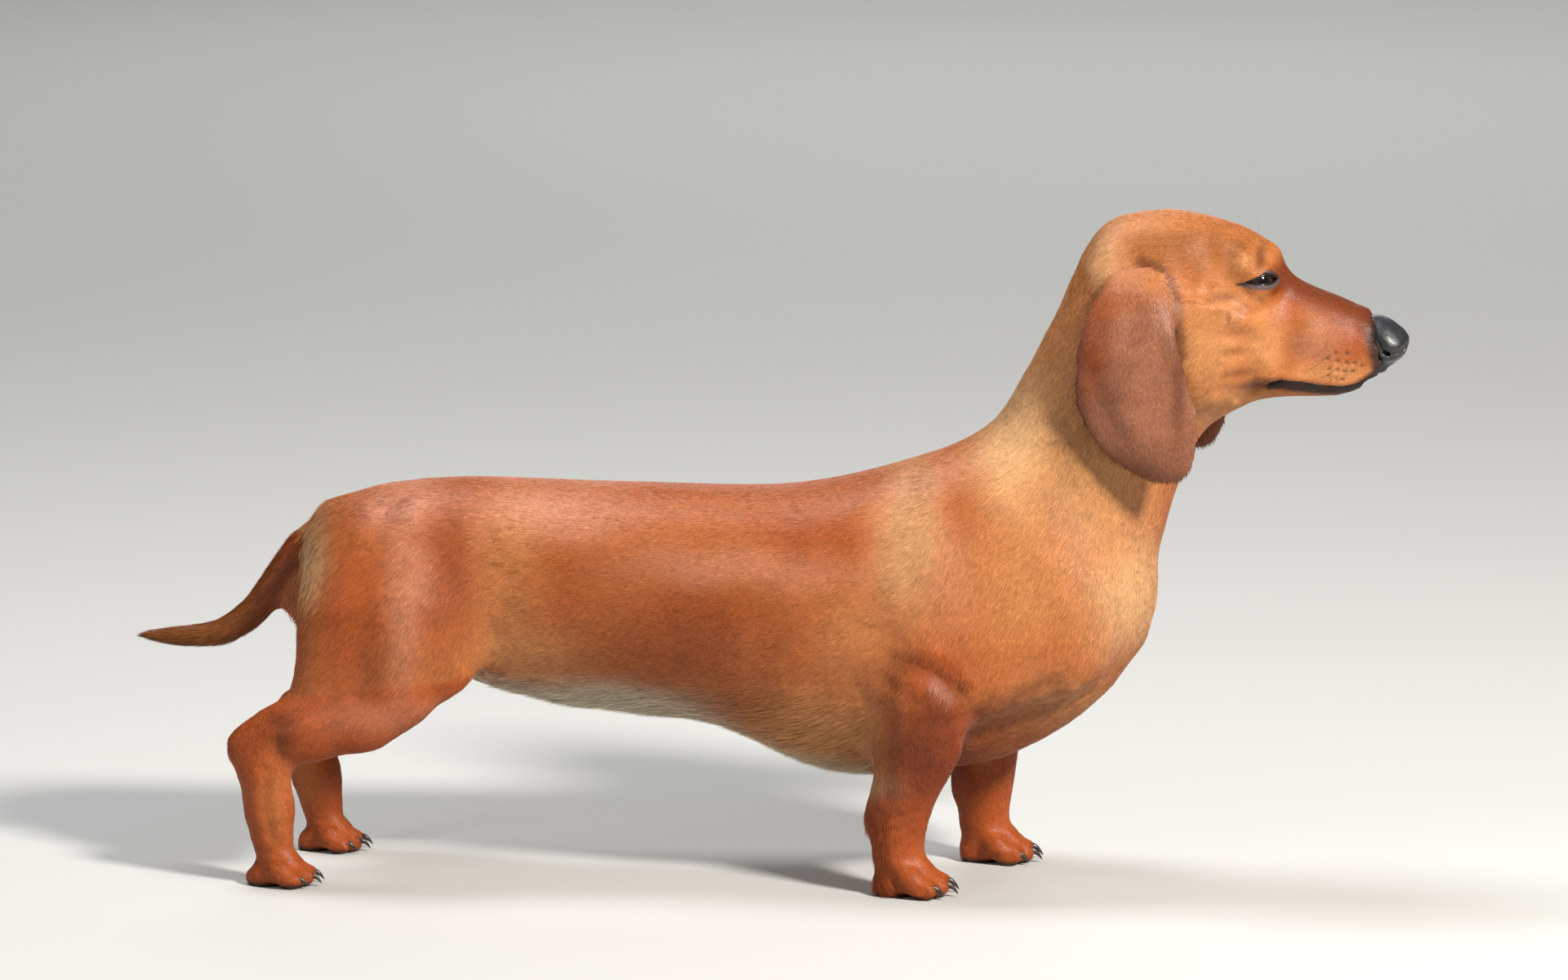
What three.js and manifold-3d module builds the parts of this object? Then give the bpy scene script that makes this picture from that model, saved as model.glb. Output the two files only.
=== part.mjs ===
// A smooth-haired standard dachshund standing in profile, life size.
// Millimetres: +X is the way the dog faces, +Y its left side, +Z up, and the floor is z = 0.
// The flesh is one blended field of named masses. It is meshed region by region and parted with thin
// straight cuts, so every seam follows the same surface on both of its sides.

import * as THREE from "three";
import { mergeVertices } from "three/addons/utils/BufferGeometryUtils.js";
import Module from "manifold-3d";

const wasm = await Module();
wasm.setup();

// Driving dimensions

const GAP = 0.3; // left between touching pieces
const HORN_CLEARANCE = 0.4; // round the tail and the claws in their seats
const NOSE_CLEARANCE = 0.55;
const EYE_CLEARANCE = 0.5;
const EAR_CLEARANCE = 0.7;
const WITHERS_HEIGHT = 240;
const BACK_HEIGHT = 221;
const CHEST_FLOOR = 57;
const LOIN_FLOOR = 103;
const CHEST_HALF_WIDTH = 64;
const LOIN_HALF_WIDTH = 51;
const HEAD_YAW = (-4 * Math.PI) / 180; // the nose turns a little towards the dog's right
const HEAD_PIVOT_X = 195;
const FORE_TRACK = 47; // from the middle line to the middle of a forefoot
const HIND_TRACK = 48;
const FORE_STRIDE = { right: 0, left: 42 }; // how far each forefoot stands ahead of the right one
const HIND_STRIDE = { right: 0, left: 14 };
const EYE_RADIUS = 9.5;
const EAR_THICKNESS = 4.4;
const EAR_SWING = { right: 0, left: (3.5 * Math.PI) / 180 }; // how far ahead each ear's tip hangs
const EAR_LIFT = { right: 0, left: 3.5 };
const SIDES = { right: -1, left: 1 };

// The mesh's cell in each region, along X, Y and Z
const CELL = {
  trunk: [18, 13.5, 13.5],
  neck: [13, 13, 13],
  head: [7.4, 6.3, 6.3],
  leg: [8.6, 8.6, 9.5],
  thigh: [12, 10, 12],
  paw: [5.9, 5.4, 6.4],
  nose: [4.2, 4.2, 4.2],
};

// Small number helpers

const lerp = (a, b, t) => a + (b - a) * t;
const clamp01 = (t) => Math.min(1, Math.max(0, t));
const smoothMin = (a, b, k) => {
  const h = Math.max(k - Math.abs(a - b), 0) / k;
  return Math.min(a, b) - (h * h * k) / 4;
};
const smoothMax = (a, b, k) => -smoothMin(-a, -b, k);

// A smooth curve through [position, value] stations, held level past its ends.
function profile(stations) {
  const last = stations.length - 1;
  const slopes = stations.map(([x, v], i) => {
    const before = stations[Math.max(i - 1, 0)];
    const after = stations[Math.min(i + 1, last)];
    return (after[1] - before[1]) / (after[0] - before[0]);
  });
  return (x) => {
    if (x <= stations[0][0]) return stations[0][1];
    if (x >= stations[last][0]) return stations[last][1];
    let i = 0;
    while (stations[i + 1][0] < x) i++;
    const [x0, v0] = stations[i];
    const [x1, v1] = stations[i + 1];
    const span = x1 - x0;
    const t = (x - x0) / span;
    const bend = slopes[i] * t * (1 - t) ** 2 - slopes[i + 1] * t * t * (1 - t);
    return lerp(v0, v1, t * t * (3 - 2 * t)) + span * bend;
  };
}

// Pieces of field: each is a distance from its surface, negative inside

// A tapered round bone from a to b, each [x, y, z, radius]. flat narrows it from side to side.
function bone(x, y, z, a, b, flat = 1) {
  const ax = b[0] - a[0];
  const ay = b[1] - a[1];
  const az = b[2] - a[2];
  const px = x - a[0];
  const pz = z - a[2];
  const t = clamp01((px * ax + (y - a[1]) * ay + pz * az) / (ax * ax + ay * ay + az * az));
  const dy = (y - a[1] - ay * t) / flat;
  return Math.hypot(px - ax * t, dy, pz - az * t) - lerp(a[3], b[3], t);
}

// A chain of bones, each blended into the next.
function limb(x, y, z, joints, blend, flat = 1) {
  let d = Infinity;
  for (let i = 1; i < joints.length; i++)
    d = smoothMin(d, bone(x, y, z, joints[i - 1], joints[i], flat), blend);
  return d;
}

// An egg with three half-lengths, pitched about the Y axis.
function egg(x, y, z, centre, half, pitch = 0) {
  const c = Math.cos(pitch);
  const s = Math.sin(pitch);
  const dx = x - centre[0];
  const dz = z - centre[2];
  const along = (dx * c + dz * s) / half[0];
  const across = (y - centre[1]) / half[1];
  const up = (dz * c - dx * s) / half[2];
  return (Math.hypot(along, across, up) - 1) * Math.min(...half);
}

// A body swept along X from its top, floor and half-width curves. widest is the share of the height
// where the section is widest, and the two powers set how square it is above and below that.
function swept(x, y, z, form) {
  const at = Math.min(form.end, Math.max(form.start, x));
  const top = form.top(at);
  const floor = form.floor(at);
  const half = form.half(at);
  const middle = lerp(floor, top, form.widest);
  const rise = z > middle ? top - middle : middle - floor;
  const power = z > middle ? form.powerTop : form.powerFloor;
  const share = ((Math.abs(y) / half) ** power + (Math.abs(z - middle) / rise) ** power) ** (1 / power);
  const reach = Math.hypot(y, z - middle);
  const d = share > 1e-6 ? reach - reach / share : -Math.min(half, rise);
  const past = Math.abs(x - at);
  return past > 0 ? Math.hypot(Math.max(d, 0), past) : d;
}

// Trunk

const trunk = {
  start: -240,
  end: 209,
  top: profile([
    [-240, 204], [-222, 213.5], [-200, BACK_HEIGHT - 1], [-165, BACK_HEIGHT + 2.5], [-120, BACK_HEIGHT - 1],
    [-60, BACK_HEIGHT - 0.5], [0, BACK_HEIGHT - 2.5], [40, BACK_HEIGHT + 3], [72, 234],
    [105, WITHERS_HEIGHT], [135, 238], [160, 228], [185, 206], [200, 182], [209, 160],
  ]),
  floor: profile([
    [-240, 168], [-215, 140], [-185, 115], [-150, LOIN_FLOOR], [-110, LOIN_FLOOR - 1.5], [-60, 97],
    [-29, 84.5], [0, 72.5], [25, 61], [50, CHEST_FLOOR], [85, CHEST_FLOOR + 1], [120, 64], [150, 77],
    [170, 89.5], [188, 105.5], [200, 120.5], [209, 138],
  ]),
  half: profile([
    [-240, 24], [-222, 36], [-200, 44], [-160, LOIN_HALF_WIDTH], [-110, LOIN_HALF_WIDTH], [-60, 53],
    [0, CHEST_HALF_WIDTH - 1], [50, CHEST_HALF_WIDTH], [100, CHEST_HALF_WIDTH - 3], [140, 54],
    [175, 43], [195, 30], [209, 8],
  ]),
  widest: 0.56,
  powerTop: 2.25,
  powerFloor: 1.85,
};
const SHEATH = [[-150, 0, 118, 12], [-105, 0, 109, 14], [-50, 0, 97, 12]];
const BREASTBONE = { at: [183, 0, 152], half: [27, 22, 28] };

function trunkField(x, y, z) {
  let d = swept(x, y, z, trunk);
  d = smoothMin(d, limb(x, y, z, SHEATH, 12), 14);
  return smoothMin(d, egg(x, y, z, BREASTBONE.at, BREASTBONE.half), 16);
}

// Neck

const NECK = [[152, 0, 189, 58], [170, 0, 226, 51], [184.5, 0, 261, 47], [202, 0, 303, 49]];
const neckField = (x, y, z) => limb(x, y, z, NECK, 18, 0.76);

// Head, in its own straight frame before it is turned

const skull = {
  start: 168,
  end: 337,
  top: profile([
    [168, 343], [177, 359.5], [188, 369], [204, 373], [220, 374.5], [240, 371], [260, 364.5], [271, 358],
    [278, 349.5], [285, 340], [294, 334.5], [312, 327.5], [327, 320.5], [337, 312],
  ]),
  floor: profile([
    [168, 300], [200, 262], [225, 253], [247, 260], [265, 269], [280, 272], [312, 273.5], [321, 276.5],
    [330, 281], [337, 287],
  ]),
  half: profile([
    [168, 22], [180, 31], [195, 36], [215, 38], [235, 37], [255, 32.5], [270, 28], [286, 24], [300, 22.5],
    [318, 20.5], [330, 17.5], [337, 14],
  ]),
  widest: 0.45,
  powerTop: 2.15,
  powerFloor: 2.2,
};
const EYE = [268, 21.5, 337.5];
const LID_RADIUS = EYE_RADIUS + 2.6;
const CHEEK = { at: [228, 30, 297], half: [30, 12, 28], pitch: 0.5 };
const CHEEKBONE = [[262, 31, 322, 5], [222, 36.5, 322, 6]];
const BROW = [[272.5, 13, 348.5, 5.2], [260, 22, 349.5, 7]];
const LIP = [[328, 10, 286.5, 5.5], [310, 14.5, 284.5, 7], [288, 18.5, 286, 6.5], [274, 22, 288, 5.5]];

function headField(x, y, z) {
  const side = Math.abs(y);
  let d = swept(x, y, z, skull);
  d = smoothMin(d, egg(x, side, z, CHEEK.at, CHEEK.half, CHEEK.pitch), 12);
  d = smoothMin(d, bone(x, side, z, ...CHEEKBONE), 10);
  d = smoothMin(d, bone(x, side, z, ...BROW), 10);
  d = smoothMin(d, limb(x, side, z, LIP, 5), 5);
  const furrow = bone(x, y, z, [286, 0, 353, 4], [260, 0, 372, 3]);
  d = smoothMax(d, -furrow, 6);
  const underEye = bone(x, side, z, [284, 24, 331, 5], [264, 36, 329, 3.5]);
  d = smoothMax(d, -underEye, 6);
  const lids = egg(x, side, z, EYE, [LID_RADIUS, LID_RADIUS, LID_RADIUS]);
  return smoothMin(d, lids, 4);
}

const cosYaw = Math.cos(HEAD_YAW);
const sinYaw = Math.sin(HEAD_YAW);

// The field of a form given in the head's straight frame, read at a point of the turned head.
const turned = (field) => (x, y, z) => {
  const dx = x - HEAD_PIVOT_X;
  return field(HEAD_PIVOT_X + dx * cosYaw + y * sinYaw, y * cosYaw - dx * sinYaw, z);
};
const turn = new THREE.Matrix4()
  .makeTranslation(HEAD_PIVOT_X, 0, 0)
  .multiply(new THREE.Matrix4().makeRotationZ(HEAD_YAW))
  .multiply(new THREE.Matrix4().makeTranslation(-HEAD_PIVOT_X, 0, 0));
const turnedHead = turned(headField);

// The lower jaw ahead of the corner of the mouth, narrower than the lips that hang over it.
const jaw = {
  start: 245,
  end: 325,
  top: profile([[245, 300], [325, 290]]),
  floor: skull.floor,
  half: profile([[245, 26], [270, 20.5], [290, 17], [308, 14.5], [318, 11.5], [325, 6]]),
  widest: 0.6,
  powerTop: 2.6,
  powerFloor: 2.1,
};
const jawField = turned((x, y, z) => swept(x, y, z, jaw));

const noseField = turned((x, y, z) => {
  const side = Math.abs(y);
  let d = egg(x, y, z, [334, 0, 306.5], [11, 12.8, 9.4], -0.4);
  d = smoothMin(d, bone(x, y, z, [330.5, 0, 309.5, 9], [342, 0, 304, 7.7]), 3);
  d = smoothMin(d, egg(x, side, z, [336.5, 8, 300.5], [10.5, 6.4, 8]), 4);
  d = smoothMin(d, bone(x, y, z, [340.5, 0, 298, 6], [334, 0, 289, 4]), 4);
  return smoothMax(d, -bone(x, y, z, [352, 0, 307, 1.6], [345, 0, 286, 1.6]), 2);
});
const NOSTRIL = [
  [352, 4, 302, 2.4], [345.5, 5.5, 300.5, 2.7], [341, 9.5, 298.5, 2.3], [337, 14.5, 299, 1.6],
  [333.5, 18, 303, 1],
];

// Forelegs: shoulder and upper arm lie on the chest, the rest stands free

function forelegJoints(side) {
  const stride = FORE_STRIDE[side];
  const elbow = stride * 0.5;
  const y = FORE_TRACK;
  return {
    blade: [[126, 38, 216, 13], [156, 44, 165, 23], [164, 42, 138, 25]],
    upperArm: [[163, 42, 136, 24], [118 + elbow / 2, 50, 127, 25], [90 + elbow, 54, 119, 21]],
    point: [[79 + elbow, 56, 124, 11], [81 + elbow, 56, 104, 14]],
    forearm: [
      [90 + elbow, 55, 112, 23],
      [87 + lerp(elbow, stride, 0.35), y + 6, 86, 21.5],
      [82 + lerp(elbow, stride, 0.6), y + 4, 73, 19.5],
      [77 + lerp(elbow, stride, 0.85), y + 1.5, 58, 17.6],
      [73.5 + stride, y, 44, 15.6],
      [73.5 + stride, y, 33, 13.4],
      [74 + stride, y, 20, 12.6],
      [78 + stride, y + 0.5, 12, 12.4],
    ],
    carpalPad: [[60.5 + stride, y, 51, 5.2], [60 + stride, y, 39, 4.6]],
  };
}
const FORELEG = { right: forelegJoints("right"), left: forelegJoints("left") };

function shoulderField(x, out, z, side) {
  const leg = FORELEG[side];
  const blade = limb(x, out, z, leg.blade, 20, 0.6);
  return smoothMin(blade, limb(x, out, z, leg.upperArm, 14, 0.7), 14);
}

function forearmField(x, out, z, side) {
  const leg = FORELEG[side];
  let d = limb(x, out, z, leg.forearm, 7, 0.86);
  d = smoothMin(d, limb(x, out, z, leg.point, 8), 8);
  d = smoothMin(d, limb(x, out, z, leg.carpalPad, 4), 5);
  return smoothMin(d, pawField(x, out, z, forePaw(side)), 4);
}

// Paws: four toes, each from knuckle to tip, and the pad behind them. The soles are cut level later.

const forePaw = (side) => ({
  heel: 66 + FORE_STRIDE[side], middle: FORE_TRACK + 0.5, size: 1,
});
const hindPaw = (side) => ({
  heel: -281 + HIND_STRIDE[side], middle: HIND_TRACK, size: 0.9,
});
// Each toe: how far ahead of the heel its knuckle and tip are, and how far to the side.
const TOES = [
  { knuckle: [13, -12.5, 11, 6.6], tip: [23, -15, 4.6, 6.2] },
  { knuckle: [18, -5, 14, 6.8], tip: [30, -5.8, 4.9, 6.5] },
  { knuckle: [18, 5, 14, 6.8], tip: [30, 5.8, 4.9, 6.5] },
  { knuckle: [13, 12.5, 11, 6.6], tip: [23, 15, 4.6, 6.2] },
];
const PAD = { at: [4.5, 0, 5], half: [12, 13, 8] };
const placeToe = ([ahead, aside, up, radius], paw) => [
  paw.heel + ahead * paw.size, paw.middle + aside * paw.size, up * paw.size, radius * paw.size,
];

function pawField(x, out, z, paw) {
  const centre = [paw.heel + PAD.at[0] * paw.size, paw.middle, PAD.at[2] * paw.size];
  let d = egg(x, out, z, centre, PAD.half.map((half) => half * paw.size));
  for (const toe of TOES)
    d = smoothMin(d, bone(x, out, z, placeToe(toe.knuckle, paw), placeToe(toe.tip, paw)), 2.4);
  return d;
}

// Hindquarters

function hindlegJoints(side) {
  const stride = HIND_STRIDE[side];
  const hock = stride * 0.75;
  const y = HIND_TRACK;
  return {
    thigh: [[-206, 32, 172, 35], [-204, 42, 145, 38], [-201, 48, 114, 22.5]],
    ham: [[-237, 25, 178, 19], [-240, 42, 150, 18.5], [-243, 47, 120, 18]],
    flank: [[-178, 41, 156, 18], [-174, 45, 124, 17]],
    shank: [
      [-202, 50, 104, 18],
      [-222, 50, 95, 19],
      [-250 + hock * 0.7, y + 1, 88, 18],
      [-272 + hock, y + 1, 83, 15],
    ],
    tendon: [[-258 + hock * 0.7, y + 1, 103, 6.5], [-284 + hock, y + 1, 84, 6.5]],
    hock: [[-287.5 + hock, y + 1, 76.5, 11.8], [-277 + hock, y + 1, 70, 15]],
    metatarsus: [
      [-276 + hock, y + 1, 62, 15.2],
      [-273.5 + lerp(hock, stride, 0.6), y, 42, 13.4],
      [-272.5 + stride, y, 28, 10.8],
      [-270 + stride, y, 14, 11],
    ],
  };
}
const HINDLEG = { right: hindlegJoints("right"), left: hindlegJoints("left") };

function thighField(x, out, z, side) {
  const leg = HINDLEG[side];
  let d = limb(x, out, z, leg.thigh, 16, 0.66);
  d = smoothMin(d, limb(x, out, z, leg.ham, 12, 0.8), 14);
  return smoothMin(d, limb(x, out, z, leg.flank, 10, 0.6), 18);
}

function shankField(x, out, z, side) {
  const leg = HINDLEG[side];
  let d = limb(x, out, z, leg.shank, 10, 0.8);
  d = smoothMin(d, limb(x, out, z, leg.tendon, 4, 0.7), 8);
  d = smoothMin(d, limb(x, out, z, leg.hock, 7, 0.78), 8);
  d = smoothMin(d, limb(x, out, z, leg.metatarsus, 7, 0.84), 6);
  return smoothMin(d, pawField(x, out, z, hindPaw(side)), 4);
}

function scrotumField(x, y, z) {
  const pair = egg(x, Math.abs(y), z, [-259, 7, 149], [15, 9.5, 14], 0.2);
  return smoothMin(pair, bone(x, y, z, [-248, 0, 182, 12], [-259, 0, 161, 11]), 8);
}

// Tail

const TAIL = [
  [-222, 0, 201, 18], [-243, 0, 196, 14], [-256, 0, 184.5, 11.4], [-270, 0, 168, 10.4], [-285, 0, 147.5, 9.4],
  [-304, 0, 132.8, 8.4], [-322, 0, 129.5, 7.2], [-339, 0, 129.6, 5.7], [-352, 0, 130, 3.1],
];
const TAIL_FREE = 2; // the station where the tail leaves the croup
const tailRoot = (x, y, z) => limb(x, y, z, TAIL.slice(0, TAIL_FREE + 1), 5, 0.95);

// The whole of the flesh as one field

function fleshField(x, y, z) {
  let d = smoothMin(trunkField(x, y, z), neckField(x, y, z), 30);
  d = smoothMin(d, turnedHead(x, y, z), 14);
  d = smoothMin(d, tailRoot(x, y, z), 8);
  for (const [side, sign] of Object.entries(SIDES)) {
    const out = y * sign;
    if (out < -40) continue;
    d = smoothMin(d, shoulderField(x, out, z, side), 16);
    d = smoothMin(d, smoothMin(thighField(x, out, z, side), shankField(x, out, z, side), 9), 14);
    d = smoothMin(d, forearmField(x, out, z, side), 6);
  }
  return smoothMin(d, scrotumField(x, y, z), 6);
}

// Meshing

function solid(vertices, faces) {
  return new wasm.Manifold(
    new wasm.Mesh({
      numProp: 3,
      vertProperties: new Float32Array(vertices),
      triVerts: new Uint32Array(faces),
    }),
  );
}

function solidOf(geometry) {
  const bare = geometry.clone();
  bare.deleteAttribute("normal");
  bare.deleteAttribute("uv");
  const merged = mergeVertices(bare, 1e-4);
  return solid(merged.attributes.position.array, merged.index.array);
}

// Moves a point along the field's slope onto its zero level, by no more than limit on each axis.
function settle(field, spot, limit) {
  const step = 0.4;
  const moved = [...spot];
  for (let round = 0; round < 3; round++) {
    const d = field(...moved);
    const slope = [0, 1, 2].map((axis) => {
      const near = [...moved];
      near[axis] += step;
      return (field(...near) - d) / step;
    });
    const steep = slope.reduce((sum, g) => sum + g * g, 0);
    if (steep < 1e-3) break;
    slope.forEach((g, axis) => (moved[axis] -= (d * g) / steep));
  }
  return moved.map((value, axis) => spot[axis] + Math.max(-limit, Math.min(limit, value - spot[axis])));
}

// Where two corners in and two corners out alternate around a grid square, the net would touch itself
// along an edge, so the nearer of the outer two corners is taken in.
function untangle(level, count, key) {
  for (let found = true; found; ) {
    found = false;
    for (let k = 1; k < count[2] - 2; k++)
      for (let j = 1; j < count[1] - 2; j++)
        for (let i = 1; i < count[0] - 2; i++)
          for (const [u, v] of [[[1, 0, 0], [0, 1, 0]], [[0, 1, 0], [0, 0, 1]], [[0, 0, 1], [1, 0, 0]]]) {
            const square = [
              key(i, j, k),
              key(i + u[0], j + u[1], k + u[2]),
              key(i + u[0] + v[0], j + u[1] + v[1], k + u[2] + v[2]),
              key(i + v[0], j + v[1], k + v[2]),
            ];
            const inner = square.map((corner) => level[corner] < 0);
            if (inner[0] !== inner[2] || inner[1] !== inner[3] || inner[0] === inner[1]) continue;
            const outer = square.filter((_, n) => !inner[n]).sort((a, b) => level[a] - level[b]);
            level[outer[0]] = -0.05;
            found = true;
          }
  }
}

// A closed net over the field's zero level in the box from low to high: one vertex to each cell that
// the surface crosses, and one face to each grid edge that it crosses.
function net(field, low, high, cell) {
  const count = low.map((v, axis) => Math.ceil((high[axis] - v) / cell[axis]) + 1);
  const key = (i, j, k) => (k * count[1] + j) * count[0] + i;
  const level = new Float64Array(count[0] * count[1] * count[2]).fill(1);
  for (let k = 1; k < count[2] - 1; k++)
    for (let j = 1; j < count[1] - 1; j++)
      for (let i = 1; i < count[0] - 1; i++)
        level[key(i, j, k)] = field(low[0] + i * cell[0], low[1] + j * cell[1], low[2] + k * cell[2]);

  untangle(level, count, key);

  const spots = [];
  const spotOfCell = new Map();
  const spotAt = (i, j, k) => {
    const cellKey = key(i, j, k);
    if (spotOfCell.has(cellKey)) return spotOfCell.get(cellKey);
    const sum = [0, 0, 0];
    let crossings = 0;
    for (let axis = 0; axis < 3; axis++)
      for (let u = 0; u < 2; u++)
        for (let v = 0; v < 2; v++) {
          const from = [i, j, k];
          from[(axis + 1) % 3] += u;
          from[(axis + 2) % 3] += v;
          const to = [...from];
          to[axis] += 1;
          const a = level[key(...from)];
          const b = level[key(...to)];
          if (a < 0 === b < 0) continue;
          from[axis] += a / (a - b);
          from.forEach((value, n) => (sum[n] += value));
          crossings++;
        }
    const spot = sum.map((value, n) => low[n] + (value / crossings) * cell[n]);
    spotOfCell.set(cellKey, spots.length);
    spots.push(settle(field, spot, Math.min(...cell) * 0.45));
    return spots.length - 1;
  };

  const faces = [];
  const apart = (m, n) => Math.hypot(...spots[m].map((value, axis) => value - spots[n][axis]));
  for (let k = 0; k < count[2] - 1; k++)
    for (let j = 0; j < count[1] - 1; j++)
      for (let i = 0; i < count[0] - 1; i++)
        for (let axis = 0; axis < 3; axis++) {
          const next = [i, j, k];
          next[axis] += 1;
          const a = level[key(i, j, k)] < 0;
          if (a === level[key(...next)] < 0) continue;
          const quad = [[0, 0], [1, 0], [1, 1], [0, 1]].map(([u, v]) => {
            const corner = [i, j, k];
            corner[(axis + 1) % 3] -= u;
            corner[(axis + 2) % 3] -= v;
            return spotAt(...corner);
          });
          if (!a) quad.reverse();
          const [p, q, r, s] = quad;
          if (apart(p, r) < apart(q, s)) faces.push(p, q, r, p, r, s);
          else faces.push(q, r, s, q, s, p);
        }
  return solid(spots.flat(), faces);
}

// A closed skin over loops of equal length, each a ring of points, with a fan over each end.
function loft(loops) {
  const around = loops[0].length;
  const points = loops.flat();
  const faces = [];
  for (let ring = 0; ring < loops.length - 1; ring++)
    for (let n = 0; n < around; n++) {
      const a = ring * around + n;
      const b = ring * around + ((n + 1) % around);
      faces.push(a, b, a + around, b, b + around, a + around);
    }
  for (const ring of [0, loops.length - 1]) {
    const middle = points.length;
    points.push([0, 1, 2].map((axis) => loops[ring].reduce((sum, p) => sum + p[axis], 0) / around));
    for (let n = 0; n < around; n++) {
      const a = ring * around + n;
      const b = ring * around + ((n + 1) % around);
      faces.push(...(ring === 0 ? [b, a, middle] : [a, b, middle]));
    }
  }
  const made = solid(points.flat(), faces);
  return made.volume() > 0 ? made : solid(points.flat(), faces.reverse());
}

// A round horn or tube through stations [x, y, z, radius], lofted in a plane square to its path.
function horn(stations, around) {
  const path = new THREE.CatmullRomCurve3(stations.map(([x, y, z]) => new THREE.Vector3(x, y, z)));
  const last = stations.length - 1;
  const loops = stations.map(([x, y, z, radius], ring) => {
    const along = path.getTangent(ring / last);
    const level = new THREE.Vector3(-along.y, along.x, 0).normalize();
    const up = new THREE.Vector3().crossVectors(along, level).normalize();
    return Array.from({ length: around }, (_, n) => {
      const angle = (2 * Math.PI * n) / around;
      return new THREE.Vector3(x, y, z)
        .addScaledVector(level, radius * Math.cos(angle))
        .addScaledVector(up, radius * Math.sin(angle))
        .toArray();
    });
  });
  return loft(loops);
}

// The same stations drawn out to more of them along a smooth curve.
function rounded(stations, count) {
  const path = new THREE.CatmullRomCurve3(stations.map(([x, y, z]) => new THREE.Vector3(x, y, z)));
  const radius = profile(stations.map((station, n) => [n / (stations.length - 1), station[3]]));
  return Array.from({ length: count }, (_, n) => {
    const t = n / (count - 1);
    return [...path.getPoint(t).toArray(), radius(t)];
  });
}

// Cuts

const REACH = 1500;

// Everything on the side of a plane that its normal points to. grow moves the plane back.
function beyond({ at, facing }, grow = 0) {
  const normal = new THREE.Vector3(...facing).normalize();
  const slab = new THREE.BoxGeometry(REACH, REACH, REACH);
  slab.translate(0, 0, REACH / 2 - grow);
  slab.applyQuaternion(new THREE.Quaternion().setFromUnitVectors(new THREE.Vector3(0, 0, 1), normal));
  slab.translate(...at);
  return solidOf(slab);
}

const region = (planes, grow = 0) =>
  planes.map((plane) => beyond(plane, grow)).reduce((left, right) => left.intersect(right));

const opposite = ({ at, facing }) => ({ at, facing: facing.map((v) => -v) });

const SEAMS = {
  head: { at: [200, 0, 300], facing: [0.85, 0, 0.53] },
  neck: { at: [164, 0, 212], facing: [0.64, 0, 0.77] },
  chest: { at: [-12, 0, 0], facing: [1, 0, 0] },
  loin: { at: [-140, 0, 0], facing: [1, 0, 0.12] },
  tail: { at: [-256, 0, 184.5], facing: [-0.72, 0, -0.7] },
};
const FLOOR = { at: [0, 0, -GAP / 2], facing: [0, 0, 1] };

const forelegCell = (sign) => [
  { at: [0, sign * 3.7, 0], facing: [0, sign, -0.526] },
  { at: [0, 0, 107], facing: [0, 0, -1] },
];
const CARPUS = { at: [0, 0, 47], facing: [0, 0, 1] };
const hindlegCell = (sign) => [
  { at: [0, sign * 17, 0], facing: [0, sign, 0] },
  { at: [-158, 0, 100], facing: [-1, 0, -0.12] },
  { at: [0, sign * 40, 178], facing: [0, sign * 0.25, -1] },
];
const STIFLE = { at: [-215, 0, 112], facing: [-0.12, 0, 1] };
const HOCK = { at: [-275, 0, 64], facing: [0.1, 0, 1] };

// A fill or a loose scrap that a cut leaves is dropped: a piece is its largest closed surface.
const largest = (made) =>
  made.decompose().reduce((best, piece) => (piece.volume() > best.volume() ? piece : best));

// The slivers that a cut leaves, with two corners in one spot, are closed up.
function geometryOf(piece) {
  const { numProp, vertProperties, triVerts } = piece.getMesh();
  const positions = [];
  for (let i = 0; i < vertProperties.length; i += numProp)
    positions.push(vertProperties[i], vertProperties[i + 1], vertProperties[i + 2]);
  const cut = new THREE.BufferGeometry();
  cut.setAttribute("position", new THREE.Float32BufferAttribute(positions, 3));
  cut.setIndex([...triVerts]);
  const geometry = mergeVertices(cut, 5e-3);
  const corners = [...geometry.index.array];
  const kept = [];
  for (let i = 0; i < corners.length; i += 3) {
    const [a, b, c] = corners.slice(i, i + 3);
    if (a !== b && b !== c && c !== a) kept.push(a, b, c);
  }
  geometry.setIndex(kept);
  geometry.computeVertexNormals();
  return geometry;
}

// Materials

const paint = (color, roughness) => new THREE.MeshStandardMaterial({ color, roughness, metalness: 0 });
const RED_COAT = paint(0x9a4a24, 0.55);
const TAN_COAT = paint(0xb8733a, 0.6);
const EAR_COAT = paint(0x7a3a26, 0.55);
const LEATHER = paint(0x1c1b1d, 0.35);
const EYEBALL = paint(0x24140d, 0.08);
const CLAW = paint(0x2a221d, 0.4);

const dog = new THREE.Group();

function place(name, made, material) {
  const mesh = new THREE.Mesh(geometryOf(largest(made)), material);
  mesh.name = name;
  dog.add(mesh);
}

// Trunk pieces

const flesh = (low, high, cell) => net(fleshField, low, high, cell);
const HALF = GAP / 2;
const limbCells = Object.values(SIDES)
  .flatMap((sign) => [forelegCell(sign), hindlegCell(sign)])
  .map((planes) => region(planes, HALF))
  .reduce((left, right) => left.add(right));
const seam = (plane) => beyond(plane, -HALF);

const torso = flesh([-300, -102, 30], [250, 102, 290], CELL.trunk)
  .subtract(limbCells)
  .subtract(beyond(SEAMS.neck, HALF));
place("chest", torso.intersect(seam(SEAMS.chest)), RED_COAT);
const hinder = torso.subtract(beyond(SEAMS.chest, HALF));
place("loin", hinder.intersect(seam(SEAMS.loin)), RED_COAT);

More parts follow.
